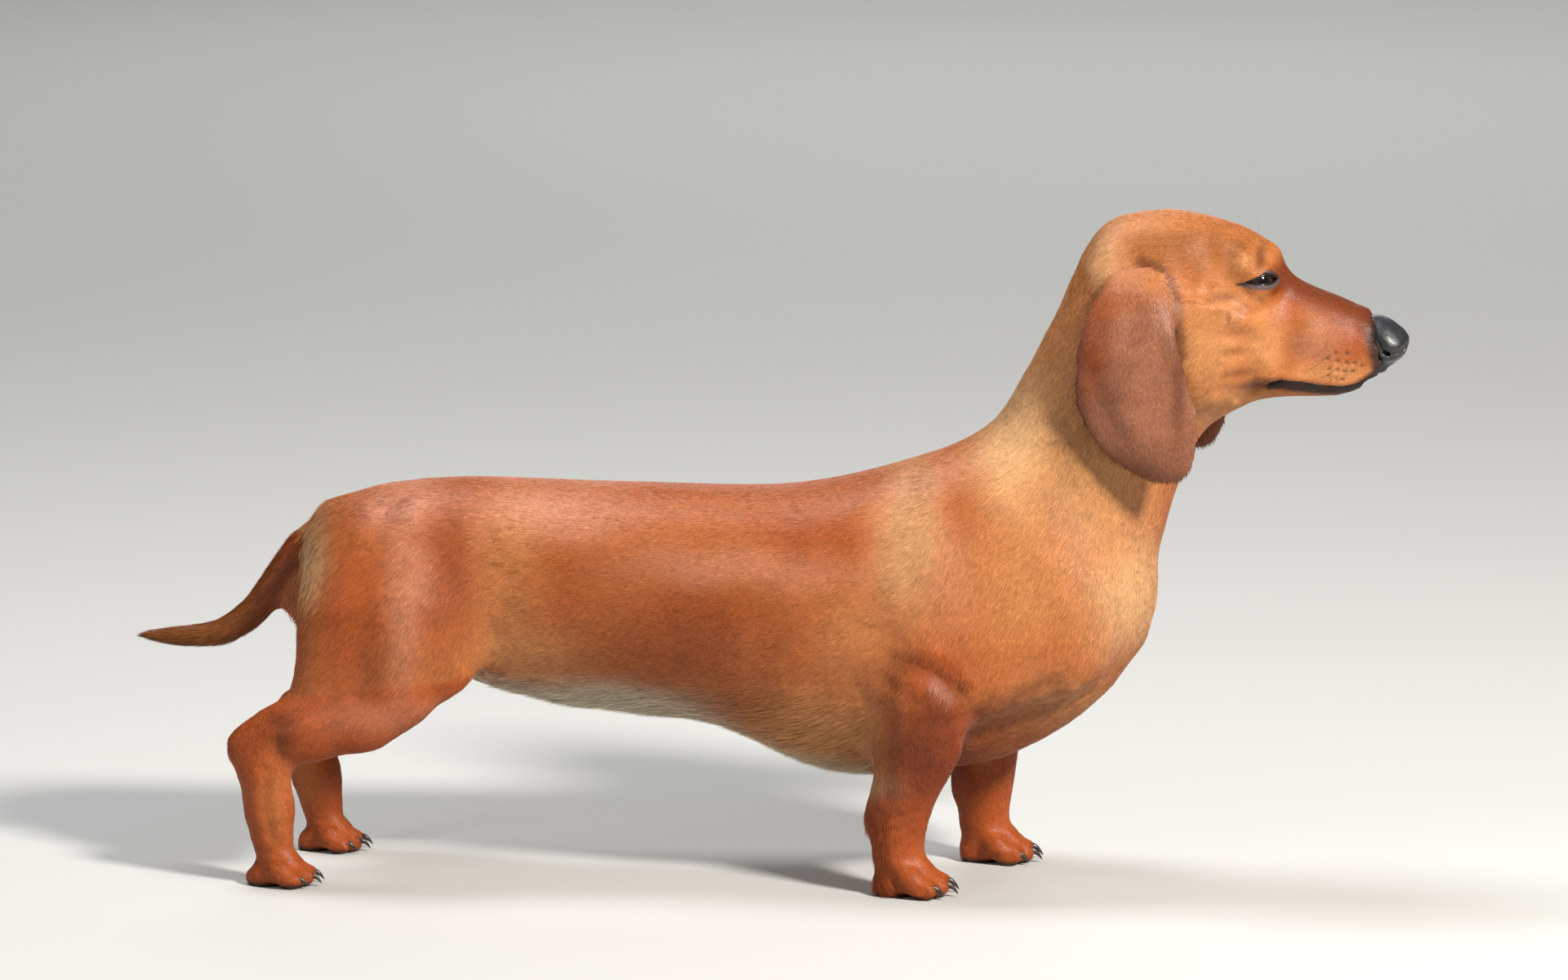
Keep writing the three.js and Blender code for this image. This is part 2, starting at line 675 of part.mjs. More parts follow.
// The free tail is a horn of its own, seated a gap away from the croup.
const freeTail = (extra) =>
  horn(rounded(TAIL.slice(TAIL_FREE - 1), 15).map(([x, y, z, radius]) => [x, y, z, radius + extra]), 11)
    .intersect(beyond(SEAMS.tail, extra));
place("rump", hinder.subtract(beyond(SEAMS.loin, HALF)).subtract(freeTail(HORN_CLEARANCE)), RED_COAT);
place("tail", freeTail(0), RED_COAT);
place(
  "neck",
  flesh([100, -80, 150], [260, 80, 370], CELL.neck)
    .intersect(seam(SEAMS.neck))
    .subtract(beyond(SEAMS.head, HALF)),
  TAN_COAT,
);

// Head, jaw, nose and eyes

// The almond between the lids, pushed outwards from the middle of the eye.
function eyeOpening(sign) {
  const almond = new THREE.Shape();
  almond.moveTo(-9.6, -1.2);
  almond.quadraticCurveTo(-2, 6.6, 5, 4.2);
  almond.quadraticCurveTo(8, 2.4, 9.6, -1.6);
  almond.quadraticCurveTo(0, -6.4, -9.6, -1.2);
  const prism = new THREE.ExtrudeGeometry(almond, { depth: 22, bevelEnabled: false, curveSegments: 5 });
  const outward = new THREE.Vector3(0.4, sign * 0.9, 0.14).normalize();
  const across = new THREE.Vector3(0, 0, 1).cross(outward).normalize().multiplyScalar(sign);
  const up = new THREE.Vector3(0, 0, 1).addScaledVector(outward, -outward.z).normalize();
  const axes = new THREE.Matrix4().makeBasis(across, up, outward);
  if (axes.determinant() < 0) axes.makeBasis(across.negate(), up, outward);
  return prism.applyMatrix4(axes).translate(EYE[0], sign * EYE[1], EYE[2]);
}

const eyeball = (sign, radius) =>
  new THREE.SphereGeometry(radius, 14, 10).translate(EYE[0], sign * EYE[1], EYE[2]);

// The wedge ahead of the corner of the mouth and below the edge of the upper lip.
function mouthWedge(gap) {
  const lipEdge = [[272, 283.5], [284, 283], [294, 282], [305, 280], [318, 279.8], [329, 283], [350, 294]];
  const side = new THREE.Shape(
    [...lipEdge.map(([x, z]) => [x - gap * 0.7, z + gap]), [350, 240], [260 - gap, 240]].map(
      ([x, z]) => new THREE.Vector2(x, z),
    ),
  );
  return new THREE.ExtrudeGeometry(side, { depth: 80, bevelEnabled: false })
    .rotateX(Math.PI / 2)
    .translate(0, 40, 0);
}

const turnedSolid = (geometry) => solidOf(geometry.applyMatrix4(turn));
const noseNet = (extra) =>
  net((x, y, z) => noseField(x, y, z) - extra, [315, -40, 275], [365, 40, 330], CELL.nose);

let head = flesh([150, -66, 226], [352, 66, 392], CELL.head)
  .intersect(seam(SEAMS.head))
  .subtract(turnedSolid(mouthWedge(HALF)))
  .subtract(noseNet(NOSE_CLEARANCE));
for (const sign of Object.values(SIDES))
  head = head
    .subtract(turnedSolid(eyeOpening(sign)))
    .subtract(turnedSolid(eyeball(sign, EYE_RADIUS + EYE_CLEARANCE)));
place("head", head, RED_COAT);
place(
  "lower_jaw",
  net(jawField, [240, -45, 240], [345, 45, 312], CELL.head).intersect(turnedSolid(mouthWedge(-HALF))),
  TAN_COAT,
);

let nose = noseNet(0);
for (const sign of Object.values(SIDES)) {
  const stations = NOSTRIL.map(([x, y, z, radius]) => {
    const spot = new THREE.Vector3(x, y * sign, z).applyMatrix4(turn);
    return [...spot.toArray(), radius];
  });
  nose = nose.subtract(horn(stations, 8));
}
place("nose", nose, LEATHER);
for (const [side, sign] of Object.entries(SIDES))
  place("eye_" + side, turnedSolid(eyeball(sign, EYE_RADIUS)), EYEBALL);

// Ears: a cupped leaf of skin hung from the side of the skull, its front edge rolled over at the top

const EAR_ROOT = [205, 0, 345];
const swingAbout = ([x, y, z], angle, lift) =>
  new THREE.Matrix4()
    .makeTranslation(x, y, z + lift)
    .multiply(new THREE.Matrix4().makeRotationY(-angle))
    .multiply(new THREE.Matrix4().makeTranslation(-x, -y, -z));

const EAR = {
  heights: [347, 342, 334, 323, 309, 294, 279, 264, 250, 240, 233.5, 229.5],
  rear: profile([
    [229.5, 214], [234, 204], [246, 185.5], [264, 172], [279, 166], [297, 169.5], [318, 173], [332, 180],
    [341, 188], [347, 197],
  ]),
  front: profile([
    [229.5, 229], [234.5, 237], [244, 240.6], [258, 241], [275, 237.3], [297, 232], [311, 227.6],
    [327, 225], [339, 222], [347, 212],
  ]),
  out: profile([
    [229.5, 44.5], [245, 48.5], [270, 50.5], [300, 50.5], [320, 49], [333, 44.5], [341, 37.5], [347, 30],
  ]),
  cup: profile([[229.5, 1.5], [250, 5], [280, 7], [320, 6.5], [347, 2]]),
  roll: profile([[285, 0], [305, 2.5], [325, 5], [338, 4.5], [347, 2]]),
};

function earLeaf(side) {
  const sign = SIDES[side];
  const hung = turn.clone().multiply(swingAbout(EAR_ROOT, EAR_SWING[side], EAR_LIFT[side]));
  const columns = 7;
  const loops = EAR.heights.map((z) => {
    const sheet = (share, layer) => {
      const x = lerp(EAR.rear(z), EAR.front(z), share);
      const edge = 2 * share - 1;
      const roll = EAR.roll(z) * Math.exp(-(((share - 0.86) / 0.13) ** 2));
      const thick = (EAR_THICKNESS / 2) * Math.sqrt(Math.max(0, 1 - edge ** 8)) * clamp01((z - 226) / 8);
      const out = EAR.out(z) - EAR.cup(z) * edge * edge + roll + layer * thick;
      return new THREE.Vector3(x, sign * out, z).applyMatrix4(hung).toArray();
    };
    const outer = Array.from({ length: columns + 1 }, (_, n) => sheet(n / columns, 1));
    const inner = Array.from({ length: columns - 1 }, (_, n) => sheet(1 - (n + 1) / columns, -1));
    return [...outer, ...inner];
  });
  return loft(loops);
}

const headRoom = net(
  (x, y, z) => fleshField(x, y, z) - EAR_CLEARANCE,
  [150, -66, 220],
  [300, 66, 392],
  CELL.head,
);
for (const side of Object.keys(SIDES))
  place("ear_" + side, earLeaf(side).subtract(headRoom), EAR_COAT);

// Legs

function box(sign, x, out, z, cell, planes) {
  const [near, far] = sign > 0 ? [out[0], out[1]] : [-out[1], -out[0]];
  return flesh([x[0], near, z[0]], [x[1], far, z[1]], cell).intersect(region(planes, -HALF));
}

// Each toe's claw curves down from the toe's tip, in a socket a gap wider than itself.
function claws(paw, sign) {
  return TOES.map(({ tip }) => {
    const [x, out, z] = placeToe(tip, paw);
    const run = paw.size;
    const lean = Math.sign(tip[1]) * 0.4;
    return (extra) => {
      const root = [x + 3.6 * run - extra, sign * out, z + 2.4 * run, 2.2 * run + extra];
      const middle = [x + 8.5 * run, sign * (out + lean), z + 0.4 * run, 1.8 * run + extra];
      const point = [x + 12 * run, sign * (out + lean * 2), 2.1, 0.7 + extra];
      return horn([root, middle, point], 6);
    };
  });
}

const TOE_NAMES = ["inner", "second", "third", "outer"];

for (const [side, sign] of Object.entries(SIDES)) {
  const fore = FORE_STRIDE[side];
  const foreCell = forelegCell(sign);
  place(
    "forearm_" + side,
    box(sign, [30, 170 + fore], [8, 92], [36, 125], CELL.leg, [...foreCell, CARPUS]),
    RED_COAT,
  );
  const hindCell = hindlegCell(sign);
  place(
    "thigh_" + side,
    box(sign, [-290, -140], [-8, 92], [90, 205], CELL.thigh, [...hindCell, STIFLE]),
    RED_COAT,
  );
  place(
    "shank_" + side,
    box(sign, [-320, -140], [-4, 86], [50, 136], CELL.leg, [...hindCell, opposite(STIFLE), HOCK]),
    RED_COAT,
  );
  const foreFoot = box(sign, [40 + fore, 125 + fore], [10, 86], [-14, 60], CELL.paw, [
    ...foreCell,
    opposite(CARPUS),
    FLOOR,
  ]);
  const hindFoot = box(sign, [-310, -225 + HIND_STRIDE[side]], [10, 86], [-14, 78], CELL.paw, [
    ...hindCell,
    opposite(HOCK),
    FLOOR,
  ]);
  const feet = [
    ["fore_paw_", forePaw(side), foreFoot],
    ["hind_paw_", hindPaw(side), hindFoot],
  ];
  for (const [name, paw, foot] of feet) {
    const nails = claws(paw, sign);
    const socketed = nails.reduce((left, nail) => left.subtract(nail(HORN_CLEARANCE)), foot);
    place(name + side, socketed, TAN_COAT);
    nails.forEach((nail, n) =>
      place(name.replace("paw_", "claw_") + side + "_" + TOE_NAMES[n], nail(0), CLAW),
    );
  }
}

// The origin is the middle of the model's footprint, on the floor.
const bounds = new THREE.Box3().setFromObject(dog);
const centre = bounds.getCenter(new THREE.Vector3());
const root = new THREE.Group();
dog.position.set(-centre.x, -centre.y, 0);
root.add(dog);

export default root;
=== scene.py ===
"""A smooth-haired standard dachshund, standing in profile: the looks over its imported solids.

One skin covers all the flesh. The eyes, lids' margins, nose leather, claws and whiskers are pieces of
their own, and the coat is thin tufts that lie along the body over the whole skin.
Distances are worked in millimetres in the dog's own frame: +X ahead, +Y its left, +Z up.
"""
import math

import bpy
import numpy as np
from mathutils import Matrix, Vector
from mathutils.bvhtree import BVHTree


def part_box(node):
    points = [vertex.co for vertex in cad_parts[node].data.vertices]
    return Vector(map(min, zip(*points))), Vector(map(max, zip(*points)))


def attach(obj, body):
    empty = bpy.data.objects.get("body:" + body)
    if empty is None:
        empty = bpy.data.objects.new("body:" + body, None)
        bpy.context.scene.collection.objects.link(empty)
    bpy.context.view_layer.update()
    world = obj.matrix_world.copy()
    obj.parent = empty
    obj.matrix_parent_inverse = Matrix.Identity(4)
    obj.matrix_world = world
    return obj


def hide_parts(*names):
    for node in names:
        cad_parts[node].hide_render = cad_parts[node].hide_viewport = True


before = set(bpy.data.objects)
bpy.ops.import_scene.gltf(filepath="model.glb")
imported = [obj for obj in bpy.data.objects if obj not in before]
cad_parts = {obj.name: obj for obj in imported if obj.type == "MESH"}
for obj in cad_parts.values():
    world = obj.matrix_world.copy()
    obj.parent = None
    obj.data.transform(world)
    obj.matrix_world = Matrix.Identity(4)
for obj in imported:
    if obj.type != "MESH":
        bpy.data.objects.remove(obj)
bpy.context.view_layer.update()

MM = 0.001
RANDOM = np.random.default_rng(41)
SIDES = {"right": -1, "left": 1}

# The head is turned a little about an upright line, as the solids turn it
HEAD_TURN = math.radians(-4)
TURN_AT = 195.0
EYE = np.array([268.0, 21.5, 337.5])
EYE_RADIUS = 9.5
LID_RADIUS = 10.5
# The ball that fills the head behind the lids, and where the lids' edges turn in to
LID_BALL_RADIUS = LID_RADIUS + 0.3
LID_INNER_RADIUS = EYE_RADIUS - 0.7

COS, SIN = math.cos(HEAD_TURN), math.sin(HEAD_TURN)


def middle_of(node):
    low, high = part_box(node)
    return (np.array(low) + np.array(high)) / 2 / MM


# Where the dog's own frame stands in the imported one, found from the middle between the eyes
between_eyes = (middle_of("eye_right") + middle_of("eye_left")) / 2
SHIFT = between_eyes - [TURN_AT + (EYE[0] - TURN_AT) * COS, (EYE[0] - TURN_AT) * SIN, EYE[2]]


def to_dog(metres):
    return np.asarray(metres, float) / MM - SHIFT


def to_scene(points):
    return (np.asarray(points, float) + SHIFT) * MM


def to_head(points):
    """From the dog's frame to the straight head's frame."""
    points = np.atleast_2d(points)
    ahead = points[:, 0] - TURN_AT
    x = TURN_AT + ahead * COS + points[:, 1] * SIN
    y = points[:, 1] * COS - ahead * SIN
    return np.column_stack([x, y, points[:, 2]])


def from_head(points):
    """From the straight head's frame to the dog's."""
    points = np.atleast_2d(points)
    ahead = points[:, 0] - TURN_AT
    x = TURN_AT + ahead * COS - points[:, 1] * SIN
    y = ahead * SIN + points[:, 1] * COS
    return np.column_stack([x, y, points[:, 2]])


def turned_to_head(normals):
    """Directions, not places, from the dog's frame to the straight head's."""
    return to_head(normals + [TURN_AT, 0, 0]) - [TURN_AT, 0, 0]


def side_view(points):
    return points[:, [0, 2]]


def folded(points):
    """Both sides of the dog laid over its left one."""
    return np.column_stack([points[:, 0], np.abs(points[:, 1]), points[:, 2]])


# Camera, light and floor

TARGET = np.array([7.2, 0.0, 215.9])
CAMERA_TURN = math.radians(4.5)
CAMERA_RISE = math.radians(9)
CAMERA_DISTANCE = 4.0
FRAME_WIDTH = 0.864
SENSOR_WIDTH = 36

# Each light: where it stands and what it faces, in metres, then its width, its watts and its colour
BODY_MIDDLE = (0, 0, 0.2)
LIGHTS = {
    "key_light": ((1.9, -1.6, 2.0), BODY_MIDDLE, 0.5, 168, (1.0, 0.96, 0.9)),
    "top_light": ((-0.6, 0.3, 2.3), BODY_MIDDLE, 0.9, 36, (0.97, 0.98, 1.0)),
    "fill_light": ((-2.2, -1.8, 1.3), BODY_MIDDLE, 1.0, 14, (1.0, 0.98, 0.95)),
    "backdrop_light": ((0, 4.6, 3.0), (0, 4.6, 0), 3.0, 85, (1.0, 1.0, 1.0)),
}
SKY_COLOUR = (0.9, 0.93, 0.97, 1)
SKY_STRENGTH = 0.17
FLOOR_COLOUR = (0.5, 0.5, 0.485, 1)


def deselect():
    bpy.ops.object.select_all(action="DESELECT")


def take(*pieces):
    """Selects these pieces alone and makes the first of them the active one."""
    deselect()
    for piece in pieces:
        piece.select_set(True)
    bpy.context.view_layer.objects.active = pieces[0]


def set_camera():
    """The photograph's view: nearly square to the dog's right side, from a little above."""
    back = Vector((
        math.sin(CAMERA_TURN) * math.cos(CAMERA_RISE),
        -math.cos(CAMERA_TURN) * math.cos(CAMERA_RISE),
        math.sin(CAMERA_RISE),
    ))
    deselect()
    bpy.ops.object.camera_add()
    camera = bpy.context.object
    camera.name = "camera"
    camera.location = Vector(to_scene(TARGET)) + back * CAMERA_DISTANCE
    camera.rotation_euler = back.to_track_quat("Z", "Y").to_euler()
    camera.data.sensor_width = SENSOR_WIDTH
    camera.data.lens = SENSOR_WIDTH * CAMERA_DISTANCE / FRAME_WIDTH
    camera.data.clip_end = 100
    bpy.context.scene.camera = camera


def area_light(name, place, aim, size, watts, colour):
    deselect()
    bpy.ops.object.light_add(type="AREA", location=place)
    light = bpy.context.object
    light.name = name
    light.data.shape = "DISK"
    light.data.size = size
    light.data.energy = watts
    light.data.color = colour
    light.rotation_euler = (Vector(place) - Vector(aim)).to_track_quat("Z", "Y").to_euler()


def set_lights():
    for name, values in LIGHTS.items():
        area_light(name, *values)
    world = bpy.data.worlds.new("studio")
    world.use_nodes = True
    sky = world.node_tree.nodes["Background"]
    sky.inputs["Color"].default_value = SKY_COLOUR
    sky.inputs["Strength"].default_value = SKY_STRENGTH
    bpy.context.scene.world = world
    bpy.context.scene.view_settings.view_transform = "Standard"


def set_floor():
    deselect()
    bpy.ops.mesh.primitive_plane_add(size=30, location=(0, 0, 0))
    floor = bpy.context.object
    floor.name = "floor"
    paint = bpy.data.materials.new("pale_floor")
    paint.use_nodes = True
    shader = paint.node_tree.nodes["Principled BSDF"]
    shader.inputs["Base Color"].default_value = FLOOR_COLOUR
    shader.inputs["Roughness"].default_value = 0.85
    floor.data.materials.append(paint)


# Small mesh helpers


def read_rows(items, attribute, width, kind=np.float32):
    """One attribute of all of a mesh's points, edges, faces or corners, a row for each."""
    flat = np.empty(len(items) * width, kind)
    items.foreach_get(attribute, flat)
    return flat.reshape(-1, width)


def points_of(piece):
    """A piece's points in the dog's frame."""
    return to_dog(read_rows(piece.data.vertices, "co", 3))


def set_points(piece, points):
    piece.data.vertices.foreach_set("co", to_scene(points).astype(np.float32).ravel())
    piece.data.update()


def normals_of(piece):
    return read_rows(piece.data.vertex_normals, "vector", 3).astype(float)


def face_middles(piece):
    return to_dog(read_rows(piece.data.polygons, "center", 3))


def selected_points(piece):
    return read_rows(piece.data.vertices, "select", 1, bool).ravel()


def shade_smooth(piece):
    take(piece)
    bpy.ops.object.shade_smooth()


def apply_modifier(piece, kind, **settings):
    take(piece)
    modifier = piece.modifiers.new(kind.lower(), kind)
    for name, value in settings.items():
        setattr(modifier, name, value)
    bpy.ops.object.modifier_apply(modifier=modifier.name)


def in_edit_mode(piece, *steps):
    take(piece)
    bpy.ops.object.mode_set(mode="EDIT")
    for step in steps:
        step()
    bpy.ops.object.mode_set(mode="OBJECT")


def on_all(piece, *steps):
    """Runs edit-mode steps on the whole of a piece."""
    in_edit_mode(piece, lambda: bpy.ops.mesh.select_all(action="SELECT"), *steps)


def on_none(piece, kind, *steps):
    """Runs edit-mode steps with nothing selected, in one kind's selection mode."""
    in_edit_mode(
        piece,
        lambda: bpy.ops.mesh.select_mode(type=kind),
        lambda: bpy.ops.mesh.select_all(action="DESELECT"),
        *steps,
    )


def face_normals_out(piece):
    on_all(piece, lambda: bpy.ops.mesh.normals_make_consistent(inside=False))


def pick_faces(piece, chosen):
    """Selects faces by a yes or no for each, ready for edit mode."""
    on_none(piece, "FACE")
    piece.data.polygons.foreach_set("select", np.asarray(chosen, bool))
    piece.data.update()


def quarter_faces(piece, chosen):
    """Cuts the chosen faces finer."""
    pick_faces(piece, chosen)
    in_edit_mode(piece, lambda: bpy.ops.mesh.subdivide(number_cuts=1, quadcorner="INNERVERT"))


WEIGHT_STEPS = 20


def weigh(piece, name, weights):
    """A vertex group from one weight for each point, in a number of steps."""
    group = piece.vertex_groups.new(name=name)
    steps = np.round(np.clip(weights, 0, 1) * WEIGHT_STEPS).astype(int)
    for step in range(1, WEIGHT_STEPS + 1):
        members = np.nonzero(steps == step)[0]
        if len(members):
            group.add(members.tolist(), step / WEIGHT_STEPS, "REPLACE")


def joined_copy(nodes, name):
    """One mesh from copies of CAD nodes, with its doubles merged."""
    copies = []
    for node in nodes:
        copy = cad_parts[node].copy()
        copy.data = copy.data.copy()
        copy.parent = None
        for key in list(copy.keys()):
            del copy[key]
        bpy.context.scene.collection.objects.link(copy)
        copies.append(copy)
    take(*copies)
    if len(copies) > 1:
        bpy.ops.object.join()
    made = copies[0]
    made.name = name
    made.data.name = name
    made.data.materials.clear()
    on_all(made, lambda: bpy.ops.mesh.remove_doubles(threshold=1e-5))
    return made


def keep_largest(piece):
    """Deletes the loose scraps that a remesh can leave inside or beside a form."""
    mesh = piece.data
    edges = read_rows(mesh.edges, "vertices", 2, np.int32)
    label = np.arange(len(mesh.vertices))
    while True:
        low = np.minimum(label[edges[:, 0]], label[edges[:, 1]])
        before = label.copy()
        np.minimum.at(label, edges[:, 0], low)
        np.minimum.at(label, edges[:, 1], low)
        label = label[label]
        if (before == label).all():
            break
    values, counts = np.unique(label, return_counts=True)
    loose = label != values[counts.argmax()]
    if not loose.any():
        return
    on_none(piece, "VERT")
    mesh.vertices.foreach_set("select", loose)
    in_edit_mode(piece, lambda: bpy.ops.mesh.delete(type="VERT"))


def smoothstep(value, start, end):
    share = np.clip((value - start) / (end - start), 0, 1)
    return share * share * (3 - 2 * share)


def path_distance(points, path):
    """How far each point is from a path, in the path's own two or three dimensions."""
    path = np.asarray(path, float)
    if len(path) == 1:
        return np.linalg.norm(points - path[0], axis=1)
    best = np.full(len(points), np.inf)
    for start, end in zip(path[:-1], path[1:]):
        span = end - start
        share = np.clip((points - start) @ span / (span @ span), 0, 1)
        best = np.minimum(best, np.linalg.norm(points - start - share[:, None] * span, axis=1))
    return best


# The skin

EARS = ["ear_right", "ear_left"]
TRUNK = ["chest", "loin", "rump", "neck", "thigh_right", "thigh_left"]
LIMBS = ["forearm_right", "forearm_left", "shank_right", "shank_left"]
PAWS = ["fore_paw_right", "fore_paw_left", "hind_paw_right", "hind_paw_left"]
FACE = ["head", "lower_jaw", "nose"]
FLESH = ["head", "lower_jaw", "tail"] + EARS + TRUNK + LIMBS + PAWS
CLAWS = sorted(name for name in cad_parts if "claw" in name)

VOXEL = 0.0023
SKIN_SWELL = 0.45
EAR_SWELL = 1.1
# How far the ears' flaps are moved: out from the neck, in at the fold, ahead at the leaf's front edge and
# back at its root, and how much further the left flap goes out than the right one
FLAP_OUT = 3.9
FOLD_IN = 3.6
LEAF_AHEAD = 3.6
ROOT_BACK = 2.6
LEFT_FLAP_SHARE = 1.4
EAR_ROOT = [(188, 36, 338), (205, 36, 348), (219, 36, 341)]

THINNED_SHARE = 0.46
SMOOTHING = 0.5

# The slit between the lids, as places across and up from the middle of the eye
REAR_CORNER = (-8.8, -0.4)
FRONT_CORNER = (9.2, 1.0)
UPPER_LID = [REAR_CORNER, (-6.0, 0.7), (-3.4, 1.9), (0.0, 3.1), (2.6, 3.8), (5.5, 3.3), FRONT_CORNER]
LOWER_LID = [REAR_CORNER, (-5.0, -1.4), (-2.4, -1.8), (1.0, -2.0), (3.8, -1.8), (7.0, -0.9), FRONT_CORNER]
FINE_MOUTH = [(331, 287), (316, 280), (300, 281), (280, 283), (271, 279)]


def region_finder():
    """Tells which CAD node lies nearest to each of many points."""
    corners, faces, owners, names = [], [], [], []
    for name in FLESH + ["nose"]:
        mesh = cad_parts[name].data
        start = len(corners)
        corners.extend(v.co.copy() for v in mesh.vertices)
        faces.extend(tuple(start + i for i in p.vertices) for p in mesh.polygons)
        owners.extend([len(names)] * len(mesh.polygons))
        names.append(name)
    tree = BVHTree.FromPolygons(corners, faces)
    owners = np.array(owners)
    names = np.array(names)

    def find(points):
        hits = [tree.find_nearest(Vector(p))[2] for p in to_scene(points)]
        return names[owners[hits]]

    return find


def eye_centre(sign):
    return EYE * [1, sign, 1]


def eye_axes(sign):
    """The eye's outward, forward and upward directions in the straight head."""
    outward = np.array([0.4, sign * 0.9, 0.14])
    outward /= np.linalg.norm(outward)
    across = np.cross([0, 0, 1], outward) * sign
    across *= np.sign(across[0])
    across /= np.linalg.norm(across)
    up = np.cross(outward, across)
    up *= np.sign(up[2])
    return outward, across, up


def eye_plane(head_points, sign):
    """Each point's place across, up and out of the eye, from the middle of the eyeball."""
    outward, across, up = eye_axes(sign)
    offset = head_points - eye_centre(sign)
    return offset @ across, offset @ up, offset @ outward


def lid_heights(across):
    """The heights of the upper and lower lids' edges above the middle of the eye."""
    return np.interp(across, *zip(*UPPER_LID)), np.interp(across, *zip(*LOWER_LID))


def ball_at_eye(sign, radius, segments, rings):
    place = to_scene(from_head(eye_centre(sign)))[0]
    deselect()
    bpy.ops.mesh.primitive_uv_sphere_add(
        segments=segments, ring_count=rings, radius=radius * MM, location=place
    )
    bpy.ops.object.transform_apply(location=True)
    return bpy.context.object


def hang_ears():
    """The solids' ears, made rounder and thicker, with their flaps clear of the neck."""
    ears = joined_copy(EARS, "ears")
    apply_modifier(ears, "SUBSURF", levels=1, render_levels=1)
    head = to_head(points_of(ears))
    height = head[:, 2]
    hang = FLAP_OUT * (1 - smoothstep(height, 304, 334)) - FOLD_IN * smoothstep(height, 334, 346)
    head[:, 1] += np.sign(head[:, 1]) * hang * np.where(head[:, 1] > 0, LEFT_FLAP_SHARE, 1.0)
    front = smoothstep(head[:, 0], 201, 220)
    leaf = smoothstep(height, 240, 262) * (1 - smoothstep(height, 306, 324))
    head[:, 0] += front * (LEAF_AHEAD * leaf - ROOT_BACK * smoothstep(height, 322, 338))
    set_points(ears, from_head(head))
    apply_modifier(ears, "DISPLACE", mid_level=0, strength=EAR_SWELL * MM)
    return ears


def rough_skin():
    """The CAD flesh swollen until its cuts close, with a filled ball behind each eyelid, in one net."""
    ears = hang_ears()
    skin = joined_copy([name for name in FLESH if name not in EARS], "skin")
    apply_modifier(skin, "DISPLACE", mid_level=0, strength=SKIN_SWELL * MM)
    balls = [ball_at_eye(sign, LID_BALL_RADIUS, 32, 16) for sign in SIDES.values()]
    take(skin, ears, *balls)
    bpy.ops.object.join()
    apply_modifier(skin, "REMESH", mode="VOXEL", voxel_size=VOXEL)
    keep_largest(skin)
    return skin


def refine(skin, find):
    """Fewer faces on the trunk, more on the face and feet, and each region smoothed by its own amount."""
    region = find(points_of(skin))
    weigh(skin, "thin", np.isin(region, TRUNK + ["tail"]))
    apply_modifier(
        skin, "DECIMATE", decimate_type="COLLAPSE", ratio=THINNED_SHARE, vertex_group="thin",
        vertex_group_factor=1.0,
    )
    middles = face_middles(skin)
    head = to_head(middles)
    foot = middles[:, 2] < 40
    face = (head[:, 0] > 238) & (head[:, 2] > 262)
    quarter_faces(skin, foot | face)

    points = points_of(skin)
    region = find(points)
    head = to_head(points)
    broad = np.isin(region, TRUNK) * smoothstep(points[:, 2], 95, 150)
    skull = (region == "head") * (1 - smoothstep(head[:, 0], 225, 250))
    limb = np.isin(region, LIMBS) | (region == "tail") | np.isin(region, TRUNK)
    ear = np.isin(region, EARS)
    ear_root = path_distance(folded(head), EAR_ROOT)
    weigh(skin, "broad", np.maximum(np.maximum(broad, skull * 0.5), 1 - smoothstep(ear_root, 6, 15)))
    weigh(skin, "limb", np.maximum(limb * smoothstep(points[:, 2], 26, 50), ear * 0.8))
    apply_modifier(skin, "SMOOTH", factor=SMOOTHING, iterations=26, vertex_group="broad")
    apply_modifier(skin, "SMOOTH", factor=SMOOTHING, iterations=11, vertex_group="limb")
    apply_modifier(skin, "SMOOTH", factor=SMOOTHING, iterations=6)


def split_eyelids(skin):
    """Finer faces round each eye and the mouth, then the slit between the lids is opened."""
    middles = to_head(face_middles(skin))
    fine = np.zeros(len(middles), bool)
    for sign in SIDES.values():
        across, up, out = eye_plane(middles, sign)
        fine |= (np.abs(across) < 13) & (np.abs(up) < 8) & (out > 2)
    mouth = path_distance(side_view(middles), FINE_MOUTH)
    fine |= (mouth < 4.5) & (middles[:, 0] > 268)
    quarter_faces(skin, fine)

    head = to_head(points_of(skin))
    for sign in SIDES.values():
        across, up, out = eye_plane(head, sign)
        ball = np.sqrt(across**2 + up**2 + out**2)
        near = (np.abs(across) < 12) & (np.abs(up) < 8) & (out > 2)
        grow = np.where(near, np.maximum(LID_RADIUS - ball, 0), 0)
        head += (head - eye_centre(sign)) * (grow / np.maximum(ball, 1e-6))[:, None]
    set_points(skin, from_head(head))

    middles = to_head(face_middles(skin))
    slit = np.zeros(len(middles), bool)
    for sign in SIDES.values():
        across, up, out = eye_plane(middles, sign)
        upper, lower = lid_heights(across)
        slit |= (np.abs(across) < 9.1) & (up < upper) & (up > lower) & (out > 2)
    pick_faces(skin, slit)
    in_edit_mode(skin, lambda: bpy.ops.mesh.delete(type="FACE"))
    on_none(skin, "EDGE", lambda: bpy.ops.mesh.select_non_manifold())
    snap_to_slit(skin, selected_points(skin))
    in_edit_mode(skin, lambda: bpy.ops.mesh.extrude_region_move())
    inner = selected_points(skin)
    head = to_head(points_of(skin))
    for sign in SIDES.values():
        centre = eye_centre(sign)
        mine = inner & (head[:, 1] * sign > 0)
        offset = head[mine] - centre
        reach = np.linalg.norm(offset, axis=1, keepdims=True)
        head[mine] = centre + offset / reach * LID_INNER_RADIUS
    set_points(skin, from_head(head))


